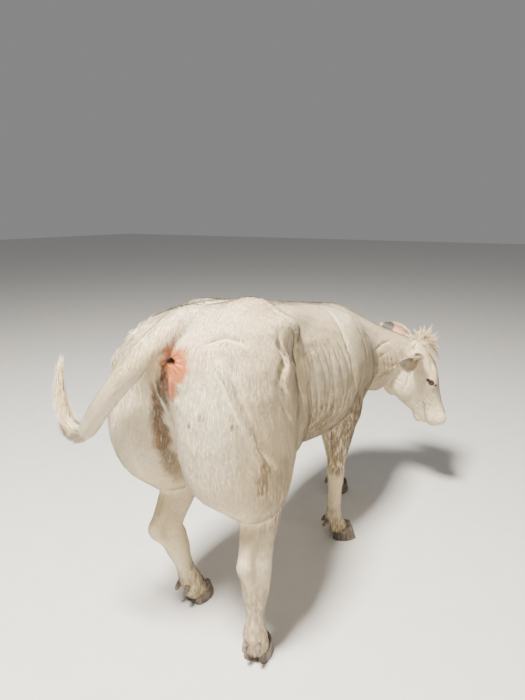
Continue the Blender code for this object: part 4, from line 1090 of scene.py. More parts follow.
def folds_of_the_neck() -> list[Fold]:
    """Slack folds on the inner side of the neck's bend, and the groove of the back.

    Returns:
        The folds.
    """
    paths = [
        (0.024, 0.0060, [(-0.560, 0.075, 1.370), (-0.300, 0.065, 1.360), (0.280, 0.027, 1.270)]),
        (0.010, 0.0045, [(0.700, -0.200, 0.880), (0.740, -0.262, 0.850), (0.775, -0.300, 0.870)]),
        (0.010, 0.0045, [(0.690, -0.190, 0.820), (0.745, -0.240, 0.800), (0.795, -0.280, 0.835)]),
        (0.012, 0.0050, [(0.640, -0.180, 0.960), (0.690, -0.220, 0.990), (0.740, -0.255, 1.010)]),
        (0.010, 0.0035, [(0.620, -0.180, 0.900), (0.680, -0.215, 0.930), (0.730, -0.250, 0.945)]),
        (0.009, 0.0030, [(0.610, -0.185, 0.850), (0.660, -0.200, 0.850), (0.710, -0.230, 0.835)]),
    ]
    for i in range(8):
        x, y = 0.600 + 0.028 * i, -0.215 - 0.017 * i
        path = [(x + 0.008 * math.sin(0.6 * k + 2.3 * i) + 0.006 * k, y - 0.004 * k,
                 1.03 - 0.036 * k - 0.008 * i) for k in range(8)]
        paths.append((0.0100 + 0.0020 * (i % 2), 0.0055, path))
    return [Fold(width, depth, tuple(at(*p) for p in path)) for width, depth, path in paths]


def folds_of_the_face() -> list[Fold]:
    """The line of the mouth, the wrinkles at its corners, and the folds round the eyes and nostrils.

    Returns:
        The folds of both sides.
    """
    half = [
        (0.0045, 0.0050, [(0.492, -0.119, 0.0), (0.484, -0.121, 0.028), (0.459, -0.121, 0.054),
                          (0.420, -0.118, 0.066), (0.383, -0.113, 0.067), (0.353, -0.108, 0.067)]),
        (0.0070, 0.0040, [(0.355, -0.107, 0.064), (0.338, -0.117, 0.066), (0.326, -0.135, 0.064)]),
        (0.0060, 0.0034, [(0.368, -0.094, 0.063), (0.346, -0.090, 0.068), (0.320, -0.098, 0.070)]),
        (0.0060, 0.0030, [(0.375, -0.126, 0.062), (0.355, -0.138, 0.062), (0.344, -0.155, 0.058)]),
        (0.0055, 0.0026, [(0.395, -0.098, 0.067), (0.380, -0.078, 0.069), (0.352, -0.064, 0.069)]),
        (0.0060, 0.0036, [(0.190, -0.040, 0.100), (0.202, -0.020, 0.098), (0.226, -0.010, 0.094),
                          (0.254, -0.020, 0.088)]),
        (0.0080, -0.0036, [(0.196, -0.048, 0.104), (0.208, -0.030, 0.104), (0.228, -0.022, 0.100),
                           (0.250, -0.032, 0.094)]),
        (0.0045, 0.0030, [(0.192, -0.055, 0.102), (0.206, -0.070, 0.102), (0.232, -0.078, 0.100),
                          (0.258, -0.068, 0.092)]),
        (0.0045, 0.0026, [(0.196, -0.080, 0.102), (0.225, -0.090, 0.100), (0.256, -0.084, 0.092)]),
        (0.0050, 0.0024, [(0.205, -0.096, 0.100), (0.235, -0.104, 0.098), (0.264, -0.098, 0.090)]),
        (0.0080, 0.0036, [(0.258, -0.060, 0.092), (0.284, -0.052, 0.080), (0.314, -0.040, 0.066)]),
        (0.0100, 0.0034, [(0.285, -0.100, 0.080), (0.320, -0.080, 0.074), (0.360, -0.060, 0.070)]),
        (0.0120, 0.0045, [(0.120, -0.110, 0.100), (0.170, -0.150, 0.098), (0.230, -0.190, 0.086)]),
        (0.0060, 0.0030, [(0.455, -0.022, 0.060), (0.438, -0.042, 0.068), (0.443, -0.070, 0.070)]),
        (0.0080, -0.0030, [(0.505, -0.032, 0.030), (0.490, -0.032, 0.054), (0.476, -0.052, 0.064)]),
    ]
    made = []
    for width, depth, path in half:
        for side in Side:
            made.append(Fold(width, depth, tuple(on_head(a, o, l * side.value) for a, o, l in path)))
    return made


def folds_under_the_tail() -> list[Fold]:
    """Radial wrinkles round the opening, and the groove and lips below it.

    Returns:
        The folds.
    """
    made = [Fold(0.015, 0.014, (at(-0.800, 0.016, 1.222), at(-0.800, 0.032, 1.220)))]
    for i in range(12):
        a = 2 * math.pi * i / 12
        near = at(-0.800, 0.025 + 0.016 * math.cos(a), 1.220 + 0.014 * math.sin(a))
        far = at(-0.800, 0.020 + 0.052 * math.cos(a), 1.215 + 0.046 * math.sin(a))
        made.append(Fold(0.0050, 0.0032, (near, far)))
    groove = ((-0.800, 0.036, 1.172), (-0.795, 0.042, 1.130), (-0.785, 0.050, 1.085))
    made.append(Fold(0.007, 0.006, tuple(at(*p) for p in groove)))
    lips = ((-0.80, 0.036, 1.165), (-0.795, 0.042, 1.130), (-0.785, 0.05, 1.095))
    for side in (-0.020, 0.022):
        made.append(Fold(0.014, -0.005, tuple(at(x, y + side, z) for x, y, z in lips)))
    return made


class Places:
    """Tells which CAD node each place on the skin belongs to."""

    def __init__(self, rng: np.random.Generator, samples: int = 1500) -> None:
        """Scatters points over each node of flesh.

        Args:
            rng: the random draw.
            samples: how many points on each node.
        """
        points, labels = [], []
        for number, node in enumerate(FLESH):
            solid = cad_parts[node]
            count = samples * (4 if node == "torso" else 1)
            points.append(scatter(rng, coordinates(solid)[triangle_corners(solid)], count)[0])
            labels += [number] * count
        self.labels = np.array(labels)
        self.tree = KDTree(len(self.labels))
        for i, point in enumerate(np.concatenate(points)):
            self.tree.insert(point, i)
        self.tree.balance()

    def of(self, points: np.ndarray) -> np.ndarray:
        """The node number of each point, as an index of FLESH."""
        return self.labels[[self.tree.find(p)[1] for p in points]]


def scatter(rng: np.random.Generator, triangles: np.ndarray, count: int,
            weights: np.ndarray | None = None) -> tuple[np.ndarray, np.ndarray, np.ndarray]:
    """Random places on triangles, as many for their area.

    Args:
        rng: the random draw.
        triangles: triangles by corners by 3.
        count: how many places.
        weights: a share for each triangle beside its area.

    Returns:
        The places, the triangles' numbers and the weights of the corners.
    """
    first = triangles[:, 0]
    area = np.linalg.norm(np.cross(triangles[:, 1] - first, triangles[:, 2] - first), axis=1)
    if weights is not None:
        area = area * weights
    chosen = rng.choice(len(triangles), count, p=area / area.sum())
    a, b = rng.random(count), rng.random(count)
    folded = a + b > 1
    a, b = np.where(folded, 1 - a, a), np.where(folded, 1 - b, b)
    corner = np.stack([1 - a - b, a, b], axis=1)
    return np.einsum("nk,nkj->nj", corner, triangles[chosen]), chosen, corner


@dataclass
class Skin:
    """One skin over torso, neck, head, legs, ears and tail, a coat's depth inside the solids."""

    voxel: float = 0.004
    body_triangles: int = 84000
    poll_reach: float = 0.12
    poll_centre: tuple[float, float] = (0.045, -0.095)
    poll_edge: tuple[float, float] = (0.11, 0.02)
    rays: tuple[int, int] = (28, 56)
    core: float = 0.86
    # Where broad smoothing begins: away from the face, above the feet, and short of the tail.
    face_edge: tuple[float, float] = (0.31, 0.41)
    leg_edge: tuple[float, float] = (0.50, 0.62)
    tail_edge: tuple[float, float] = (0.835, 0.86)
    broad_rounds: int = 36
    fine_rounds: int = 7
    ear_edge: tuple[float, float] = (0.045, 0.10)
    ear_pull: float = 0.24
    socket: float = 0.065
    lid_height: float = 0.0030
    slit_depth: float = 0.005
    far_off: float = 0.06
    obj: bpy.types.Object | None = None

    def bare_head(self) -> bpy.types.Object:
        """The head's solid with its forelock pressed back to the skull.

        Returns:
            A copy of the node whose locks lie on the skin.
        """
        head = copy_of("head")
        centre = on_head(*self.poll_centre)
        along, out, _ = head_axes()
        mesh = head.data
        tree = BVHTree.FromPolygons([v.co for v in mesh.vertices], [p.vertices for p in mesh.polygons])
        rings, spokes = self.rays
        near, reach = KDTree(rings * spokes), []
        for i, j in product(range(rings), range(spokes)):
            up, turn = math.pi * (i + 0.5) / rings, 2 * math.pi * j / spokes
            way = Vector((math.sin(up) * math.cos(turn), math.sin(up) * math.sin(turn), math.cos(up)))
            near.insert(way, len(reach))
            reach.append(tree.ray_cast(centre, way)[3] or self.poll_reach)
        near.balance()
        for v in mesh.vertices:
            offset = v.co - centre
            if offset.dot(along) > self.poll_edge[0] or offset.dot(out) < self.poll_edge[1]:
                continue
            around = sorted(reach[i] for _, i, _ in near.find_n(offset.normalized(), 21))
            if offset.length > around[6] * 1.01 + 0.0015:
                v.co = centre + offset.normalized() * around[6]
        return head

    def tail_core(self) -> bpy.types.Object:
        """The flesh of the tail's end, a bent cone inside the switch.

        Returns:
            The cone, as a mesh.
        """
        curve = bpy.data.curves.new("tail_core", "CURVE")
        curve.dimensions = "3D"
        curve.bevel_depth = 1.0
        curve.bevel_resolution = 4
        curve.use_fill_caps = True
        line = curve.splines.new("NURBS")
        line.points.add(len(TAIL_PATH) - 1)
        line.use_endpoint_u = True
        line.order_u = 3
        for point, (where, radius) in zip(line.points, TAIL_PATH):
            point.co = (*at(*where), 1)
            point.radius = radius * self.core
        only(placed("tail_core", curve))
        bpy.ops.object.convert(target="MESH")
        return bpy.context.object

    def fused(self) -> bpy.types.Object:
        """All flesh as one closed surface.

        Returns:
            The surface, as fine as the voxel size.
        """
        pieces = [copy_of(node) for node in FLESH if node not in ("head", "tail_end")]
        skin = join([self.bare_head(), self.tail_core()] + pieces, "skin")
        skin.data.materials.clear()
        apply(skin, "REMESH", mode="VOXEL", voxel_size=self.voxel)
        return skin

    def soften(self, weights: np.ndarray, times: int) -> None:
        """Smooths the skin where the weights are high.

        Args:
            weights: one for each vertex.
            times: how many rounds.
        """
        group = self.obj.vertex_groups.new(name="soft")
        levels = np.round(weights * 10).astype(int)
        for level in range(1, 11):
            members = np.nonzero(levels == level)[0].tolist()
            if members:
                group.add(members, level / 10, "REPLACE")
        apply(self.obj, "SMOOTH", factor=0.5, iterations=times, vertex_group="soft")
        self.obj.vertex_groups.clear()

    def thin(self, keep: np.ndarray) -> None:
        """Thins the skin outside the kept places.

        Args:
            keep: true for each vertex that stays as it is.
        """
        apply(self.obj, "TRIANGULATE")
        corners = numbers(self.obj.data.polygons, "vertices", 3, np.int32)
        mine, total = int((~keep)[corners].all(axis=1).sum()), len(corners)
        group = self.obj.vertex_groups.new(name="body")
        group.add(np.nonzero(~keep)[0].tolist(), 1.0, "REPLACE")
        apply(self.obj, "DECIMATE", vertex_group="body", ratio=(total - mine + self.body_triangles) / total)
        self.obj.vertex_groups.clear()

    def refine_face(self) -> None:
        """Splits the faces round the eyes, mouth and nostrils."""
        mesh = self.obj.data
        points = coordinates(self.obj)
        near = np.zeros(len(points), bool)
        for place, reach in FINE_SPOTS:
            near |= np.linalg.norm(points - np.array(on_head(*place)), axis=1) < reach
        only(self.obj)
        mesh.vertices.foreach_set("select", near)
        for items, width in ((mesh.edges, 2), (mesh.polygons, 3)):
            items.foreach_set("select", near[numbers(items, "vertices", width, np.int32)].all(axis=1))
        bpy.ops.object.mode_set(mode="EDIT")
        bpy.ops.mesh.select_mode(type="FACE")
        bpy.ops.mesh.subdivide(number_cuts=1, smoothness=0.0)
        bpy.ops.object.mode_set(mode="OBJECT")
        apply(self.obj, "TRIANGULATE")

    def slim_ear(self) -> None:
        """Draws the left ear in towards its long way."""
        root, way, hollow = (np.array(part) for part in ear_way(Side.LEFT))
        broad = np.cross(way, hollow)
        points = coordinates(self.obj)
        pull = self.ear_pull * smooth_step(*self.ear_edge, (points - root) @ way)
        pull = pull * in_box(points, "ear_left", EAR_MARGIN)
        across = (points - root) @ broad
        set_coordinates(self.obj, points - broad * (across * pull)[:, None])

    def open_eye(self, side: Side) -> None:
        """Sinks the skin behind the eyeball inside the slit, and raises the lids round it.

        Args:
            side: which eye.
        """
        centre, look, level, across = (np.array(way) for way in eye_axes(side))
        upper = np.sign(across @ np.array(head_axes()[1]))
        points = coordinates(self.obj)
        offset = points - centre
        deep, u, v = offset @ look, offset @ level, offset @ across
        near = (deep > 0) & (np.linalg.norm(offset, axis=1) < self.socket)
        ball = np.sqrt(np.clip(EYE_RADIUS ** 2 - u ** 2 - v ** 2, 0, None))
        ring = np.sqrt((u / SLIT[0]) ** 2 + (v / SLIT[1]) ** 2)
        lid = ball + self.lid_height + self.lid_height * np.clip(upper * v / SLIT[1], 0, 1)
        new = deep + (np.maximum(deep, lid) - deep) * smooth_step(2.6, 1.3, ring)
        sunk = np.maximum(np.minimum(deep, ball - self.slit_depth), deep - 0.012)
        inside = 1 - smooth_step(0.85, 1.10, ring)
        new = new * (1 - inside) + sunk * inside
        set_coordinates(self.obj, points + look * ((new - deep) * near)[:, None])

    def snap(self, place: Vector) -> Vector:
        """The skin's point nearest to a place or, from far off a flank, the one level with it.

        Args:
            place: the place.

        Returns:
            The point of the skin.
        """
        nearest = self.obj.closest_point_on_mesh(place)[1]
        if (nearest - place).length < self.far_off:
            return nearest
        inward = Vector((0, -math.copysign(1, place.y - ORIGIN.y), 0))
        hit, where = self.obj.ray_cast(place, inward)[:2]
        return where if hit else nearest

    def fold(self, folds: list[Fold]) -> None:
        """Presses the folds into the skin.

        Args:
            folds: what is pressed or raised.
        """
        points, normals = coordinates(self.obj), vertex_normals(self.obj)
        moves = np.zeros(len(points))
        for fold in folds:
            line = []
            path = [self.snap(place) for place in fold.path]
            for a, b in zip(path[:-1], path[1:]):
                steps = max(2, int((b - a).length / (fold.width * 0.35)))
                line += [self.obj.closest_point_on_mesh(a.lerp(b, k / steps))[1] for k in range(steps)]
            line = rows(line + path[-1:])
            low, high = line.min(axis=0) - fold.width, line.max(axis=0) + fold.width
            near = np.nonzero(np.all((points > low) & (points < high), axis=1))[0]
            gaps = np.linalg.norm(points[near, None, :] - line[None], axis=2)
            far = gaps.min(axis=1) / fold.width
            where = gaps.argmin(axis=1) / max(1, len(line) - 1)
            ends = np.clip(np.minimum(where, 1 - where) / 0.2 + 0.3, 0, 1)
            moves[near] -= fold.depth * np.clip(1 - far ** 2, 0, None) ** 2 * ends
        set_coordinates(self.obj, points + normals * moves[:, None])

    def from_face(self) -> np.ndarray:
        """How far each vertex is from the middle of the face."""
        return np.linalg.norm(coordinates(self.obj) - np.array(on_head(*FACE_MIDDLE)), axis=1)

    def inset(self) -> None:
        """Smooths the fused skin and draws it in by the coat's depth, least on head and ears."""
        points = coordinates(self.obj)
        local = points - np.array(ORIGIN)
        body = smooth_step(*self.face_edge, self.from_face())
        legs = 1 - smooth_step(*self.leg_edge, local[:, 2])
        tail = smooth_step(*self.tail_edge, -local[:, 0])
        ears = np.any([in_box(points, node, EAR_MARGIN) for node in EARS], axis=0).astype(float)
        broad = body * (1 - 0.75 * legs) * (1 - 0.75 * tail) * (1 - ears)
        self.soften(broad, self.broad_rounds)
        self.soften(np.where(ears > 0, 0.6, 1.0), self.fine_rounds)
        points, normals = coordinates(self.obj), vertex_normals(self.obj)
        inward = COAT_DEPTH * broad + FACE_DEPTH * (1 - broad) * (1 - ears)
        set_coordinates(self.obj, points - normals * inward[:, None])

    def build(self, material: bpy.types.Material) -> bpy.types.Object:
        """Makes the skin.

        Args:
            material: the skin's material.

        Returns:
            The finished skin.
        """
        self.obj = self.fused()
        self.inset()
        self.slim_ear()
        apply(self.obj, "TRIANGULATE")
        self.refine_face()
        for side in Side:
            self.open_eye(side)
        self.fold(folds_of_both_sides() + folds_of_the_neck() + folds_of_the_face() + folds_under_the_tail())
        self.thin(self.from_face() < FACE_REACH)
        points, normals = coordinates(self.obj), vertex_normals(self.obj)
        held = np.zeros(len(points))
        for node in EARS:
            mine = in_box(points, node, 0.003)
            held[mine] = in_hollow(node, normals[mine])
        mark(self.obj, "inside", held)
        self.obj.data.shade_smooth()
        self.obj.data.materials.append(material)
        settle(self.obj, "coat", *FLESH)
        return self.obj


@dataclass
class Coat:
    """The short coat: tufts over the whole skin, lying as the hair does."""

    # Where the larger nodes lie on the flat unwrap: left, low, width and height.
    CELLS = {"torso": (0.0, 0.0, 0.62, 1.0), "neck": (0.63, 0.0, 0.20, 0.34),
             "head": (0.63, 0.35, 0.36, 0.34)}

    skin: bpy.types.Object
    places: Places
    rng: np.random.Generator
    # Node, tufts, length, width, lift of the tips.
    plan: tuple[tuple[str, int, float, float, float], ...] = (
        ("torso", 175000, 0.024, 0.0014, 0.0018), ("neck", 32000, 0.024, 0.0014, 0.0020),
        ("head", 42000, 0.011, 0.0011, 0.0012), ("leg_fore_left", 9000, 0.014, 0.0014, 0.0016),
        ("leg_fore_right", 9000, 0.014, 0.0014, 0.0016), ("leg_hind_left", 15000, 0.015, 0.0015, 0.0018),
        ("leg_hind_right", 15000, 0.015, 0.0015, 0.0018), ("ear_left", 5000, 0.015, 0.0013, 0.0022),
        ("ear_right", 5000, 0.015, 0.0013, 0.0022), ("tail_base", 8000, 0.032, 0.0018, 0.0036),
        ("tail_mid", 6000, 0.042, 0.0018, 0.0050), ("tail_end", 3000, 0.050, 0.0020, 0.0060),
    )
    lid_margin: float = 0.006
    quick_share: float = 0.25
    clump_scale: float = 26.0
    nose_edge: tuple[float, float] = (0.30, 0.46)
    triangles: np.ndarray = field(init=False)
    normals: np.ndarray = field(init=False)
    labels: np.ndarray = field(init=False)

    def __post_init__(self) -> None:
        """Reads the skin's triangles and names their nodes."""
        corners = triangle_corners(self.skin)
        self.triangles = coordinates(self.skin)[corners]
        self.normals = vertex_normals(self.skin)[corners]
        self.labels = self.places.of(self.triangles.mean(axis=1))

    def roots(self, node: str, count: int) -> tuple[np.ndarray, np.ndarray]:
        """Random roots on one node's stretch of skin, none of them on bare skin.

        Args:
            node: the CAD node.
            count: how many are drawn.

        Returns:
            The roots and the skin's normals there.
        """
        mine = self.labels == FLESH.index(node)
        place, chosen, corner = scatter(self.rng, self.triangles[mine], count)
        normal = unit(np.einsum("nk,nkj->nj", corner, self.normals[mine][chosen]))
        bare = np.zeros(len(place))
        for patch in BARE + UNDER_TAIL + EYE_SKIN:
            bare = np.maximum(bare, patch.amount(place))
        for side in Side:
            eye = np.array(middle("eye_" + side.name.lower()))
            bare = np.maximum(bare, np.linalg.norm(place - eye, axis=1) < EYE_RADIUS + self.lid_margin)
        kept = self.rng.random(len(place)) > bare * 1.15
        return place[kept], normal[kept]

    def lie(self, node: str, place: np.ndarray, normal: np.ndarray) -> np.ndarray:
        """The way the hair lies at each place, along the skin.

        Args:
            node: the CAD node.
            place: the roots.
            normal: the skin's normals.

        Returns:
            Rows one long.
        """
        along, out, left = (np.array(way) for way in head_axes())
        top = np.clip(normal[:, 2:3], 0, 1)
        down = np.array([[0.0, 0.0, -1.0]])
        back = np.array([[-1.0, 0.0, 0.0]])
        if node == "torso":
            rear = smooth_step(0.30, 0.85, -normal[:, 0:1])
            thigh = smooth_step(-0.25, -0.50, (place - np.array(ORIGIN))[:, 0:1])
            under = np.clip(-normal[:, 2:3], 0, 1)
            way = back * (0.55 + 0.6 * top + 0.5 * under - 0.45 * thigh) + down * (0.35 + 0.4 * thigh + rear)
        elif node == "neck":
            way = np.array([[-0.62, 0.42, 0.0]]) + down * 0.75
        elif node == "head":
            local = place - np.array(on_head(0.0, 0.0))
            whorl = smooth_step(0.05, 0.10, (local @ along)[:, None])
            side = (local @ left)[:, None]
            way = along * (2 * whorl - 1) - out * 0.45 + left * np.sign(side) * 0.25
        elif node.startswith("ear"):
            tip, root = self.ear_ends(node)
            way = np.repeat(unit((tip - root)[None]), len(place), axis=0)
        elif node.startswith("tail"):
            path = rows([at(*p) for p in ((-0.76, 0.065, 1.300), (-0.848, 0.095, 1.238)) + SWITCH_PATH[:5]])
            path = np.concatenate([path[:2], rows([at(*p) for p, _ in TAIL_PATH[:2]]), path[2:]])
            gaps = np.linalg.norm(place[:, None] - path[None, :-1], axis=2).argmin(axis=1)
            way = unit(path[gaps + 1] - path[gaps]) + down * 0.15
        else:
            way = down + back * 0.12
        way = way + self.rng.normal(0, 0.13, (len(place), 3))
        return unit(way - normal * np.sum(way * normal, axis=1, keepdims=True))

    @staticmethod
    def ear_ends(node: str) -> tuple[np.ndarray, np.ndarray]:
        """The tip and the root of an ear.

        Args:
            node: the ear's CAD node.

        Returns:
            The solid's point farthest from the root, and the root.
        """
        root = np.array(ear_way(EARS[node])[0])
        points = coordinates(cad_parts[node])
        return points[np.linalg.norm(points - root, axis=1).argmax()], root

    def unwrap(self, node: str, place: np.ndarray) -> np.ndarray:
        """The places on a flat unwrap of the skin: each node is rolled out about its own long way.

        Args:
            node: the CAD node.
            place: the places.

        Returns:
            Rows of two numbers from 0 to 1.
        """
        low, high = (np.array(corner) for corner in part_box(node))
        size = high - low
        long = int(size.argmax())
        first, second = (k for k in range(3) if k != long)
        centre = (low + high) / 2
        turn = np.arctan2(place[:, second] - centre[second], place[:, first] - centre[first])
        u = np.clip((place[:, long] - low[long]) / size[long], 0, 1)
        v = turn / (2 * math.pi) + 0.5
        if node in self.CELLS:
            x, y, wide, tall = self.CELLS[node]
        else:
            line, column = divmod([name for name in FLESH if name not in self.CELLS].index(node), 3)
            x, y, wide, tall = 0.63 + 0.12 * column, 0.70 + 0.10 * line, 0.11, 0.09
        return np.stack([x + wide * u, y + tall * v], axis=1)

    def build(self, material: bpy.types.Material) -> None:
        """Makes the coat's pieces.

        Args:
            material: the hair's material.
        """
        share = 1.0
        for node, count, length, width, lift in self.plan:
            hair = Hair()
            place, normal = self.roots(node, int(count * share))
            way = self.lie(node, place, normal)
            n = len(place)
            vary = self.rng.uniform(0.75, 1.25, n)
            clump = clumps(place, self.clump_scale)
            if node == "head":
                local = place - np.array(on_head(0.0, 0.0))
                near_nose = smooth_step(*self.nose_edge, local @ np.array(head_axes()[0]))
                vary = vary * (1 - 0.45 * near_nose)
            add_tufts(hair, place, normal, way, length * vary, width * self.rng.uniform(0.7, 1.3, n),
                      lift * self.rng.uniform(0.5, 1.35, n) * (0.7 + 0.6 * clump), self.unwrap(node, place),
                      np.clip(0.30 + 0.35 * clump + self.rng.normal(0, 0.10, n), 0, 1))
            hair.shading = unit(normal + self.rng.normal(0, 0.10, (n, 3)) + way * 0.10)
            if node.startswith("ear"):
                hair.inside = in_hollow(node, normal)
            hair.build("coat_" + node, material, slot_of(node))


def clumps(place: np.ndarray, scale: float) -> np.ndarray:
    """A soft wandering value over space, from a few crossed waves.

    Args:
        place: the places.
        scale: how close the waves are.

    Returns:
        A value for each place, from 0 to 1.
    """
    x, y, z = (place * scale).T
    value = (np.sin(x * 1.7 + np.sin(y * 1.3)) + np.sin(y * 2.1 + np.sin(z * 0.9) * 2)
             + np.sin(z * 1.1 + x * 0.7))
    return np.clip(0.5 + value / 6, 0, 1)


def slot_of(node: str) -> str:
    """The record's slot of a CAD node of flesh."""
    slots = {"leg": "leg_coat", "tail": "tail_hair", "ear": "ear_skin"}
    return slots.get(node.split("_")[0], "coat")


def bent_paths(root: np.ndarray, start: np.ndarray, droop: np.ndarray, length: np.ndarray,
               stations: int = 7) -> np.ndarray:
    """Paths that leave their roots one way and bend towards another.

    Args:
        root: where they start.
        start: the first way of each.
        droop: what is added to the way by the tip.
        length: the length of each.
        stations: points along each.

    Returns:
        Paths by stations by 3.
    """
    t = np.linspace(0, 1, stations)[None, :, None]
    return root[:, None] + length[:, None, None] * (start[:, None] * t + droop[:, None] * t ** 2)


@dataclass
class Locks:
    """Long hair: the forelock on the poll, the switch of the tail, and the fringes of the ears."""

    # The least and greatest width of fine and of coarse locks, and the same for their thickness.
    FINE = ((0.0010, 0.0020), (0.0006, 0.0010))
    COARSE = ((0.0022, 0.0046), (0.0010, 0.0018))

    coat: Coat
    rng: np.random.Generator
    forelock_draws: int = 60000
    forelock_count: int = 1500
    forelock_length: tuple[float, float] = (0.045, 0.085)
    fringe_length: tuple[float, float] = (0.014, 0.032)
    spikes: int = 64
    switch_count: int = 1700
    switch_stations: int = 9
    bunches: int = 26
    ear_count: int = 420

    def dress(self, name: str, paths: np.ndarray, sizes: tuple[tuple[float, float], tuple[float, float]],
              up: np.ndarray, node: str, roots: np.ndarray, palest: float, material: bpy.types.Material,
              inside: float | np.ndarray = 0.0) -> None:
        """Makes locks along their paths.

        Args:
            name: the first part of the pieces' names.
            paths: the locks' middle lines.
            sizes: the least and greatest width, and the same for the thickness.
            up: a way for each that its thickness is measured along.
            node: the CAD node that they grow on.
            roots: where they grow.
            palest: the least tone.
            material: their material.
            inside: how far each is in an ear's hollow.
        """
        hair = Hair()
        flat = self.coat.unwrap(node, roots)
        wide, thick = (self.rng.uniform(*size, len(paths)) for size in sizes)
        add_locks(hair, paths, wide, thick, up, flat, self.rng.uniform(palest, 1.0, len(paths)))
        hair.inside = inside
        hair.build(name, material, slot_of(node))

    def forelock(self, material: bpy.types.Material) -> None:
        """A tousled tuft over the poll, falling forwards in spikes.

        Args:
            material: the hair's material.
        """
        along, out, left = (np.array(way) for way in head_axes())
        place, normal = self.coat.roots("head", self.forelock_draws)
        local = place - np.array(on_head(0.0, 0.0))
        a, o, l = local @ along, local @ out, local @ left
        on_poll = (a < 0.072 + 0.01 * np.cos(l * 60)) & (a > -0.04) & (o > -0.065) & (np.abs(l) < 0.074)
        chosen = np.nonzero(on_poll)[0][self.rng.permutation(int(on_poll.sum()))[:self.forelock_count]]
        place, normal, a = place[chosen], normal[chosen], a[chosen]
        n = len(place)
        tuft = clumps(place, 70.0)[:, None]
        forward = smooth_step(-0.02, 0.04, a)[:, None]
        start = unit(normal * (0.8 - 0.25 * forward) + along * (1.1 * forward - 0.35)
                     + left * ((tuft - 0.5) * 1.4 + self.rng.normal(0, 0.22, (n, 1))) + out * 0.35)
        droop = along * (0.50 * forward + 0.05) - out * 0.25 * forward + left * (tuft - 0.5) * 0.5
        length = self.rng.uniform(*self.forelock_length, n) * (0.8 + 0.45 * tuft[:, 0])
        paths = bent_paths(place - normal * 0.002, start, droop, length)
        heads = self.rng.permutation(n)[:self.spikes]
        nearest = np.linalg.norm(place[:, None] - place[heads][None], axis=2).argmin(axis=1)
        pull = (np.linspace(0, 1, paths.shape[1]) ** 0.7 * 0.97)[None, :, None]
        reach = self.rng.uniform(0.7, 1.4, self.spikes)[nearest] * self.rng.uniform(0.75, 1.0, n)
        leader = paths[heads][nearest]
        gathered = leader[:, :1] + (leader - leader[:, :1]) * reach[:, None, None]
        paths = paths * (1 - pull) + gathered * pull + self.wave(n, paths.shape[1], 0.0016)
        self.dress("forelock", paths, self.FINE, normal, "head", place, 0.45, material)

    def wave(self, n: int, stations: int, size: float) -> np.ndarray:
        """Small sideways wandering that grows to the tip.

        Args:
            n: how many locks.
            stations: points along each.
            size: how far the tips wander.

        Returns:
            What is added to the locks' paths.
        """
        t = np.linspace(0, 1, stations)[None, :, None]
        phase = self.rng.uniform(0, 6.28, (n, 1, 3))
        rate = self.rng.uniform(3, 7, (n, 1, 3))
        return np.sin(phase + rate * t) * size * t

    def switch(self, material: bpy.types.Material) -> None:
        """The hair of the tail, which follows its bend and is flicked up and outwards past it.

        Args:
            material: the hair's material.
        """
        rail = rows([at(*p) for p in SWITCH_PATH])
        n = self.switch_count
        begin = self.rng.uniform(0.0, 3.6, n)
        reach = self.rng.uniform(1.5, 3.6, n)
        t = np.linspace(0, 1, self.switch_stations)
        along = np.minimum(begin[:, None] + reach[:, None] * t[None], len(rail) - 1.001)
        low = along.astype(int)
        part = (along - low)[..., None]
        base = rail[low] * (1 - part) + rail[low + 1] * part
        radius = np.interp(begin, [0, 1, 2, 3, 4], [0.019, 0.016, 0.012, 0.007, 0.003])
        turn = self.rng.uniform(0, 2 * math.pi, n)[:, None]
        whole = begin.astype(int)
        ahead = unit(rail[whole + 1] - rail[whole])
        across = unit(np.cross(ahead, np.array([1.0, 0.0, 0.0])))
        off = across * np.cos(turn) + np.cross(ahead, across) * np.sin(turn)
        spread = (radius[:, None] + (0.003 + 0.013 * self.rng.random((n, 1))) * t[None] ** 1.3)[..., None]
        narrow = (1 - 0.72 * (along / (len(rail) - 1)) ** 2.5)[..., None]
        groups = self.rng.integers(0, self.bunches, n)
        fan = self.rng.normal(0, 1, (self.bunches, 3)) * np.array([0.6, 0.9, 0.8])
        parted = fan[groups][:, None] * (0.011 * t[None, :, None] ** 2)
        paths = base + off[:, None] * spread * narrow + parted * narrow
        paths = paths + self.wave(n, self.switch_stations, 0.003)
        self.dress("switch", paths, self.COARSE, off, "tail_end", paths[:, 0], 0.4, material)

    def ear_fringes(self, material: bpy.types.Material) -> None:
        """Longer hair along the rims and inside the cups of the ears.

        Args:
            material: the hair's material.
        """
        for node in EARS:
            place, normal = self.coat.roots(node, self.ear_count * 6)
            tip, root = self.coat.ear_ends(node)
            way = unit((tip - root)[None])[0]
            axis = root + way * ((place - root) @ way)[:, None]
            rank = np.linalg.norm(place - axis, axis=1) + 0.010 * self.rng.random(len(place))
            rim = np.argsort(-rank)[:self.ear_count]
            place, normal = place[rim], normal[rim]
            n = len(place)
            start = unit(way[None] * 0.9 + unit(place - axis[rim]) * 0.35 + self.rng.normal(0, 0.20, (n, 3)))
            droop = np.repeat(np.array([[0.0, 0.0, -0.35]]), n, axis=0)
            length = self.rng.uniform(*self.fringe_length, n)
            paths = bent_paths(place - normal * 0.001, start, droop, length, 6)
            self.dress("fringe_" + node, paths, self.FINE, normal, node, place, 0.4, material,
                       in_hollow(node, normal))


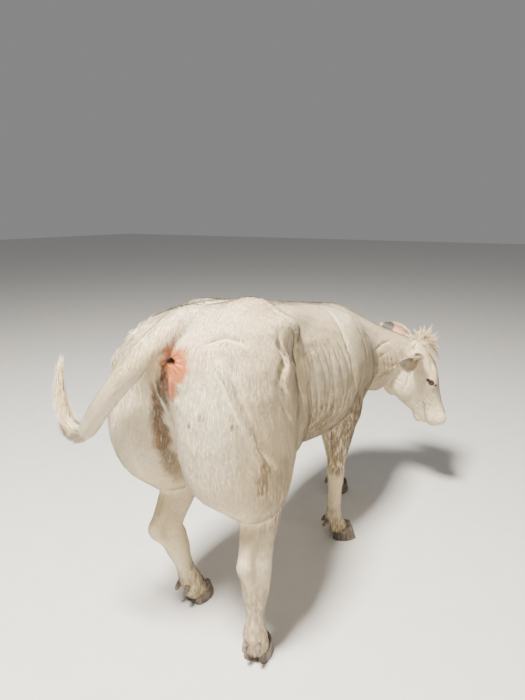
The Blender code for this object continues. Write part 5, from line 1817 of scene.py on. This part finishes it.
@dataclass
class Eye:
    """One eye: a wet ball with a slightly raised cornea, lid rims and lashes.

    The slit is how far the opening goes along and across, beside the way that the eye looks.
    """

    side: Side
    slit: tuple[float, float] = (1.70, 0.62)
    rim: float = 0.0034
    rim_points: tuple[int, int] = (64, 10)
    cornea: float = 0.0016
    lashes: int = 46
    lash_length: tuple[float, float] = (0.012, 0.022)

    def axes(self) -> tuple[Vector, Vector, Vector, Vector]:
        """The ball's middle, the way it looks, along the slit and across it."""
        return eye_axes(self.side)

    def ball(self, finish: EyeFinish) -> None:
        """The eyeball, with the cornea standing out of it.

        Args:
            finish: the wet eye's finish.
        """
        centre, look, level, _ = self.axes()
        deselect()
        bpy.ops.mesh.primitive_uv_sphere_add(segments=48, ring_count=32, radius=EYE_RADIUS * 0.985,
                                             location=centre)
        ball = only(bpy.context.object)
        bpy.ops.object.transform_apply(location=True, rotation=True, scale=True)
        for v in ball.data.vertices:
            ahead = (v.co - centre).normalized().dot(look)
            if ahead > 0.72:
                v.co += look * (self.cornea * ((ahead - 0.72) / 0.28) ** 1.2)
        ball.data.shade_smooth()
        ball.name = "eyeball_" + self.side.name.lower()
        ball.data.materials.append(finish.build(centre, look, level))
        settle(ball, "eye", "eye_" + self.side.name.lower())

    def slit_point(self, turn: float, reach: float, scale: float = 1.0) -> Vector:
        """A point of the opening between the lids.

        Args:
            turn: how far round the opening, as an angle.
            reach: how far it is from the ball's middle.
            scale: the size of the opening beside the true one.

        Returns:
            The point.
        """
        centre, look, level, across = self.axes()
        wide, high = math.cos(turn), math.sin(turn) * abs(math.sin(turn)) ** 0.35
        way = look + level * (self.slit[0] * scale * wide) + across * (self.slit[1] * scale * high)
        return centre + way.normalized() * reach

    def lids(self, material: bpy.types.Material) -> None:
        """The rims of the lids, thicker above and below than at the corners.

        Args:
            material: the lids' skin.
        """
        centre = self.axes()[0]
        count, around = self.rim_points
        rail = [self.slit_point(2 * math.pi * i / count, EYE_RADIUS + 0.0016) for i in range(count)]
        points, faces = [], []
        for i, p in enumerate(rail):
            along = (rail[(i + 1) % count] - rail[i - 1]).normalized()
            out = (p - centre).normalized()
            side = along.cross(out).normalized()
            thick = self.rim * (0.75 + 0.45 * abs(math.sin(2 * math.pi * i / count)))
            for k in range(around):
                a = 2 * math.pi * k / around
                points.append(p + out * (math.cos(a) * thick) + side * (math.sin(a) * thick * 1.5))
        for i, k in product(range(count), range(around)):
            here, there = i * around, (i + 1) % count * around
            m = (k + 1) % around
            faces += [(here + k, here + m, there + m), (here + k, there + m, there + k)]
        lids = mesh_piece("lids_" + self.side.name.lower(), rows(points), np.array(faces))
        only(lids)
        bpy.ops.object.mode_set(mode="EDIT")
        bpy.ops.mesh.select_all(action="SELECT")
        bpy.ops.mesh.normals_make_consistent(inside=False)
        bpy.ops.object.mode_set(mode="OBJECT")
        lids.data.materials.append(material)
        settle(lids, "coat")

    def lash_fringe(self, material: bpy.types.Material, rng: np.random.Generator) -> None:
        """Long pale lashes on the upper lid and a few on the lower.

        Args:
            material: the hair's material.
            rng: the random draw.
        """
        _, look, level, across = self.axes()
        upper = 1 if across.dot(head_axes()[1]) > 0 else -1
        roots, ways = [], []
        for i in range(self.lashes):
            above = i % 4 != 3
            turn = upper * math.pi * rng.uniform(0.12, 0.88) * (1 if above else -1)
            roots.append(self.slit_point(turn, EYE_RADIUS + 0.004, 1.05))
            rise = across * (upper * (0.55 if above else -0.45))
            ways.append(look * 0.9 + rise + level * rng.normal(0, 0.12))
        n = len(roots)
        up = np.repeat(np.array(across)[None], n, axis=0)
        length = rng.uniform(*self.lash_length, n)
        paths = bent_paths(rows(roots), unit(rows(ways)), up * upper * -0.25, length, 6)
        hair = Hair()
        add_locks(hair, paths, np.full(n, 0.0010), np.full(n, 0.0007), up, np.full((n, 2), 0.9),
                  rng.uniform(0.2, 0.7, n))
        hair.build("lashes_" + self.side.name.lower(), material, "coat")


@dataclass
class Claws:
    """The claws and dewclaws, rounded from their solids."""

    material: bpy.types.Material
    voxels: tuple[tuple[str, float], ...] = (("claw", 0.0035), ("dewclaw", 0.0022))

    def build(self) -> None:
        """Makes each claw and dewclaw in its solid's place."""
        for leg, side, (kind, voxel) in product(LEGS, Side, self.voxels):
            self.horn(f"{kind}_{leg}_{side.name.lower()}", voxel)

    def horn(self, node: str, voxel: float) -> None:
        """Rounds one solid and rings it with growth, its sole kept on the solid's level.

        Args:
            node: the CAD node.
            voxel: the size of the mesh that it is rounded in.
        """
        piece = copy_of(node)
        piece.name = piece.data.name = node + "_horn"
        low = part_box(node)[0].z
        apply(piece, "REMESH", mode="VOXEL", voxel_size=voxel)
        apply(piece, "SMOOTH", factor=0.5, iterations=4)
        points = coordinates(piece)
        points[:, 2] = np.maximum(points[:, 2] - (points[:, 2].min() - low), low)
        ring = 0.0005 * np.sin(points[:, 2] * 420 + np.sin(points[:, 0] * 60))
        ring = np.where(points[:, 2] > low + 0.008, ring, 0)
        set_coordinates(piece, points + vertex_normals(piece) * ring[:, None])
        piece.data.shade_smooth()
        piece.data.materials.clear()
        piece.data.materials.append(self.material)
        settle(piece, "hoof_horn", node)


@dataclass(frozen=True)
class Studio:
    """Pale floor, soft light and the camera of the photograph."""

    floor_size: float = 60.0
    key_size: float = 1.0
    key_power: float = 1350.0
    fill_size: float = 3.5
    fill_power: float = 35.0
    sky_strength: float = 0.27

    def floor(self, material: bpy.types.Material) -> None:
        """A wide pale floor at the level of the soles.

        Args:
            material: the floor's material.
        """
        deselect()
        bpy.ops.mesh.primitive_plane_add(size=self.floor_size, location=(0, 0, 0))
        floor = bpy.context.object
        floor.name = "floor"
        floor.data.materials.append(material)

    def lamp(self, name: str, where: Vector, aim: Vector, size: float, power: float,
             colour: tuple[float, float, float]) -> None:
        """One square area light.

        Args:
            name: its name.
            where: its place.
            aim: what it points at.
            size: the length of its side.
            power: its power in watts.
            colour: its colour.
        """
        data = bpy.data.lights.new(name, "AREA")
        data.size = size
        data.energy = power
        data.color = colour
        lamp = placed(name, data)
        lamp.location = where
        lamp.rotation_euler = (aim - where).to_track_quat("-Z", "Y").to_euler()

    def light(self) -> None:
        """A soft key from high on the left, a broad fill and an even sky."""
        aim = at(0.0, 0.0, 0.8)
        self.lamp("key", at(-2.5, 0.1, 5.4), aim, self.key_size, self.key_power, (1.0, 0.94, 0.83))
        self.lamp("fill", at(-1.5, -4.0, 2.4), aim, self.fill_size, self.fill_power, (1.0, 0.95, 0.86))
        world = bpy.data.worlds.new("sky")
        world.use_nodes = True
        sky = world.node_tree.nodes["Background"].inputs
        sky["Color"].default_value = (0.92, 0.92, 0.92, 1)
        sky["Strength"].default_value = self.sky_strength
        bpy.context.scene.world = world

    def camera(self) -> None:
        """The camera of the photograph, whose picture is 525 by 700."""
        data = bpy.data.cameras.new("camera")
        data.sensor_fit = "HORIZONTAL"
        data.sensor_width = 36.0
        data.lens = data.sensor_width * CAMERA_FOCAL
        camera = placed("camera", data)
        level = Vector((math.cos(CAMERA_YAW), math.sin(CAMERA_YAW), 0))
        ahead = level * math.cos(CAMERA_PITCH) - Vector((0, 0, math.sin(CAMERA_PITCH)))
        right = Vector((math.sin(CAMERA_YAW), -math.cos(CAMERA_YAW), 0))
        up = right.cross(ahead)
        turn = Matrix((right, up, -ahead)).transposed().to_4x4()
        camera.matrix_world = Matrix.Translation(at(*CAMERA_AT)) @ turn
        bpy.context.scene.camera = camera


def main() -> None:
    """Builds the cow piece by piece."""
    rng = np.random.default_rng(SEED)
    markings = markings_group()
    hair = HairFinish("coat_hair", 0.62).build(markings)
    long_hair = HairFinish("long_hair", 0.55, 1.05).build(markings)
    lid_skin = PlainFinish("lid_skin", 0.35, (0.045, 0.028, 0.022), 0.6, 250.0).build()
    places = Places(rng)
    skin = Skin().build(SkinFinish("skin").build(markings))
    coat = Coat(skin, places, rng)
    coat.build(hair)
    locks = Locks(coat, rng)
    locks.forelock(long_hair)
    locks.switch(long_hair)
    locks.ear_fringes(long_hair)
    for side in Side:
        eye = Eye(side)
        eye.ball(EyeFinish("eye_" + side.name.lower()))
        eye.lids(lid_skin)
        eye.lash_fringe(long_hair, rng)
    Claws(HornFinish("horn", 0.5).build()).build()
    studio = Studio()
    studio.floor(PlainFinish("floor", 0.9, (0.74, 0.73, 0.71), 0.97, 8.0, 0.0001).build())
    studio.light()
    studio.camera()


if __name__ == "__main__":
    main()
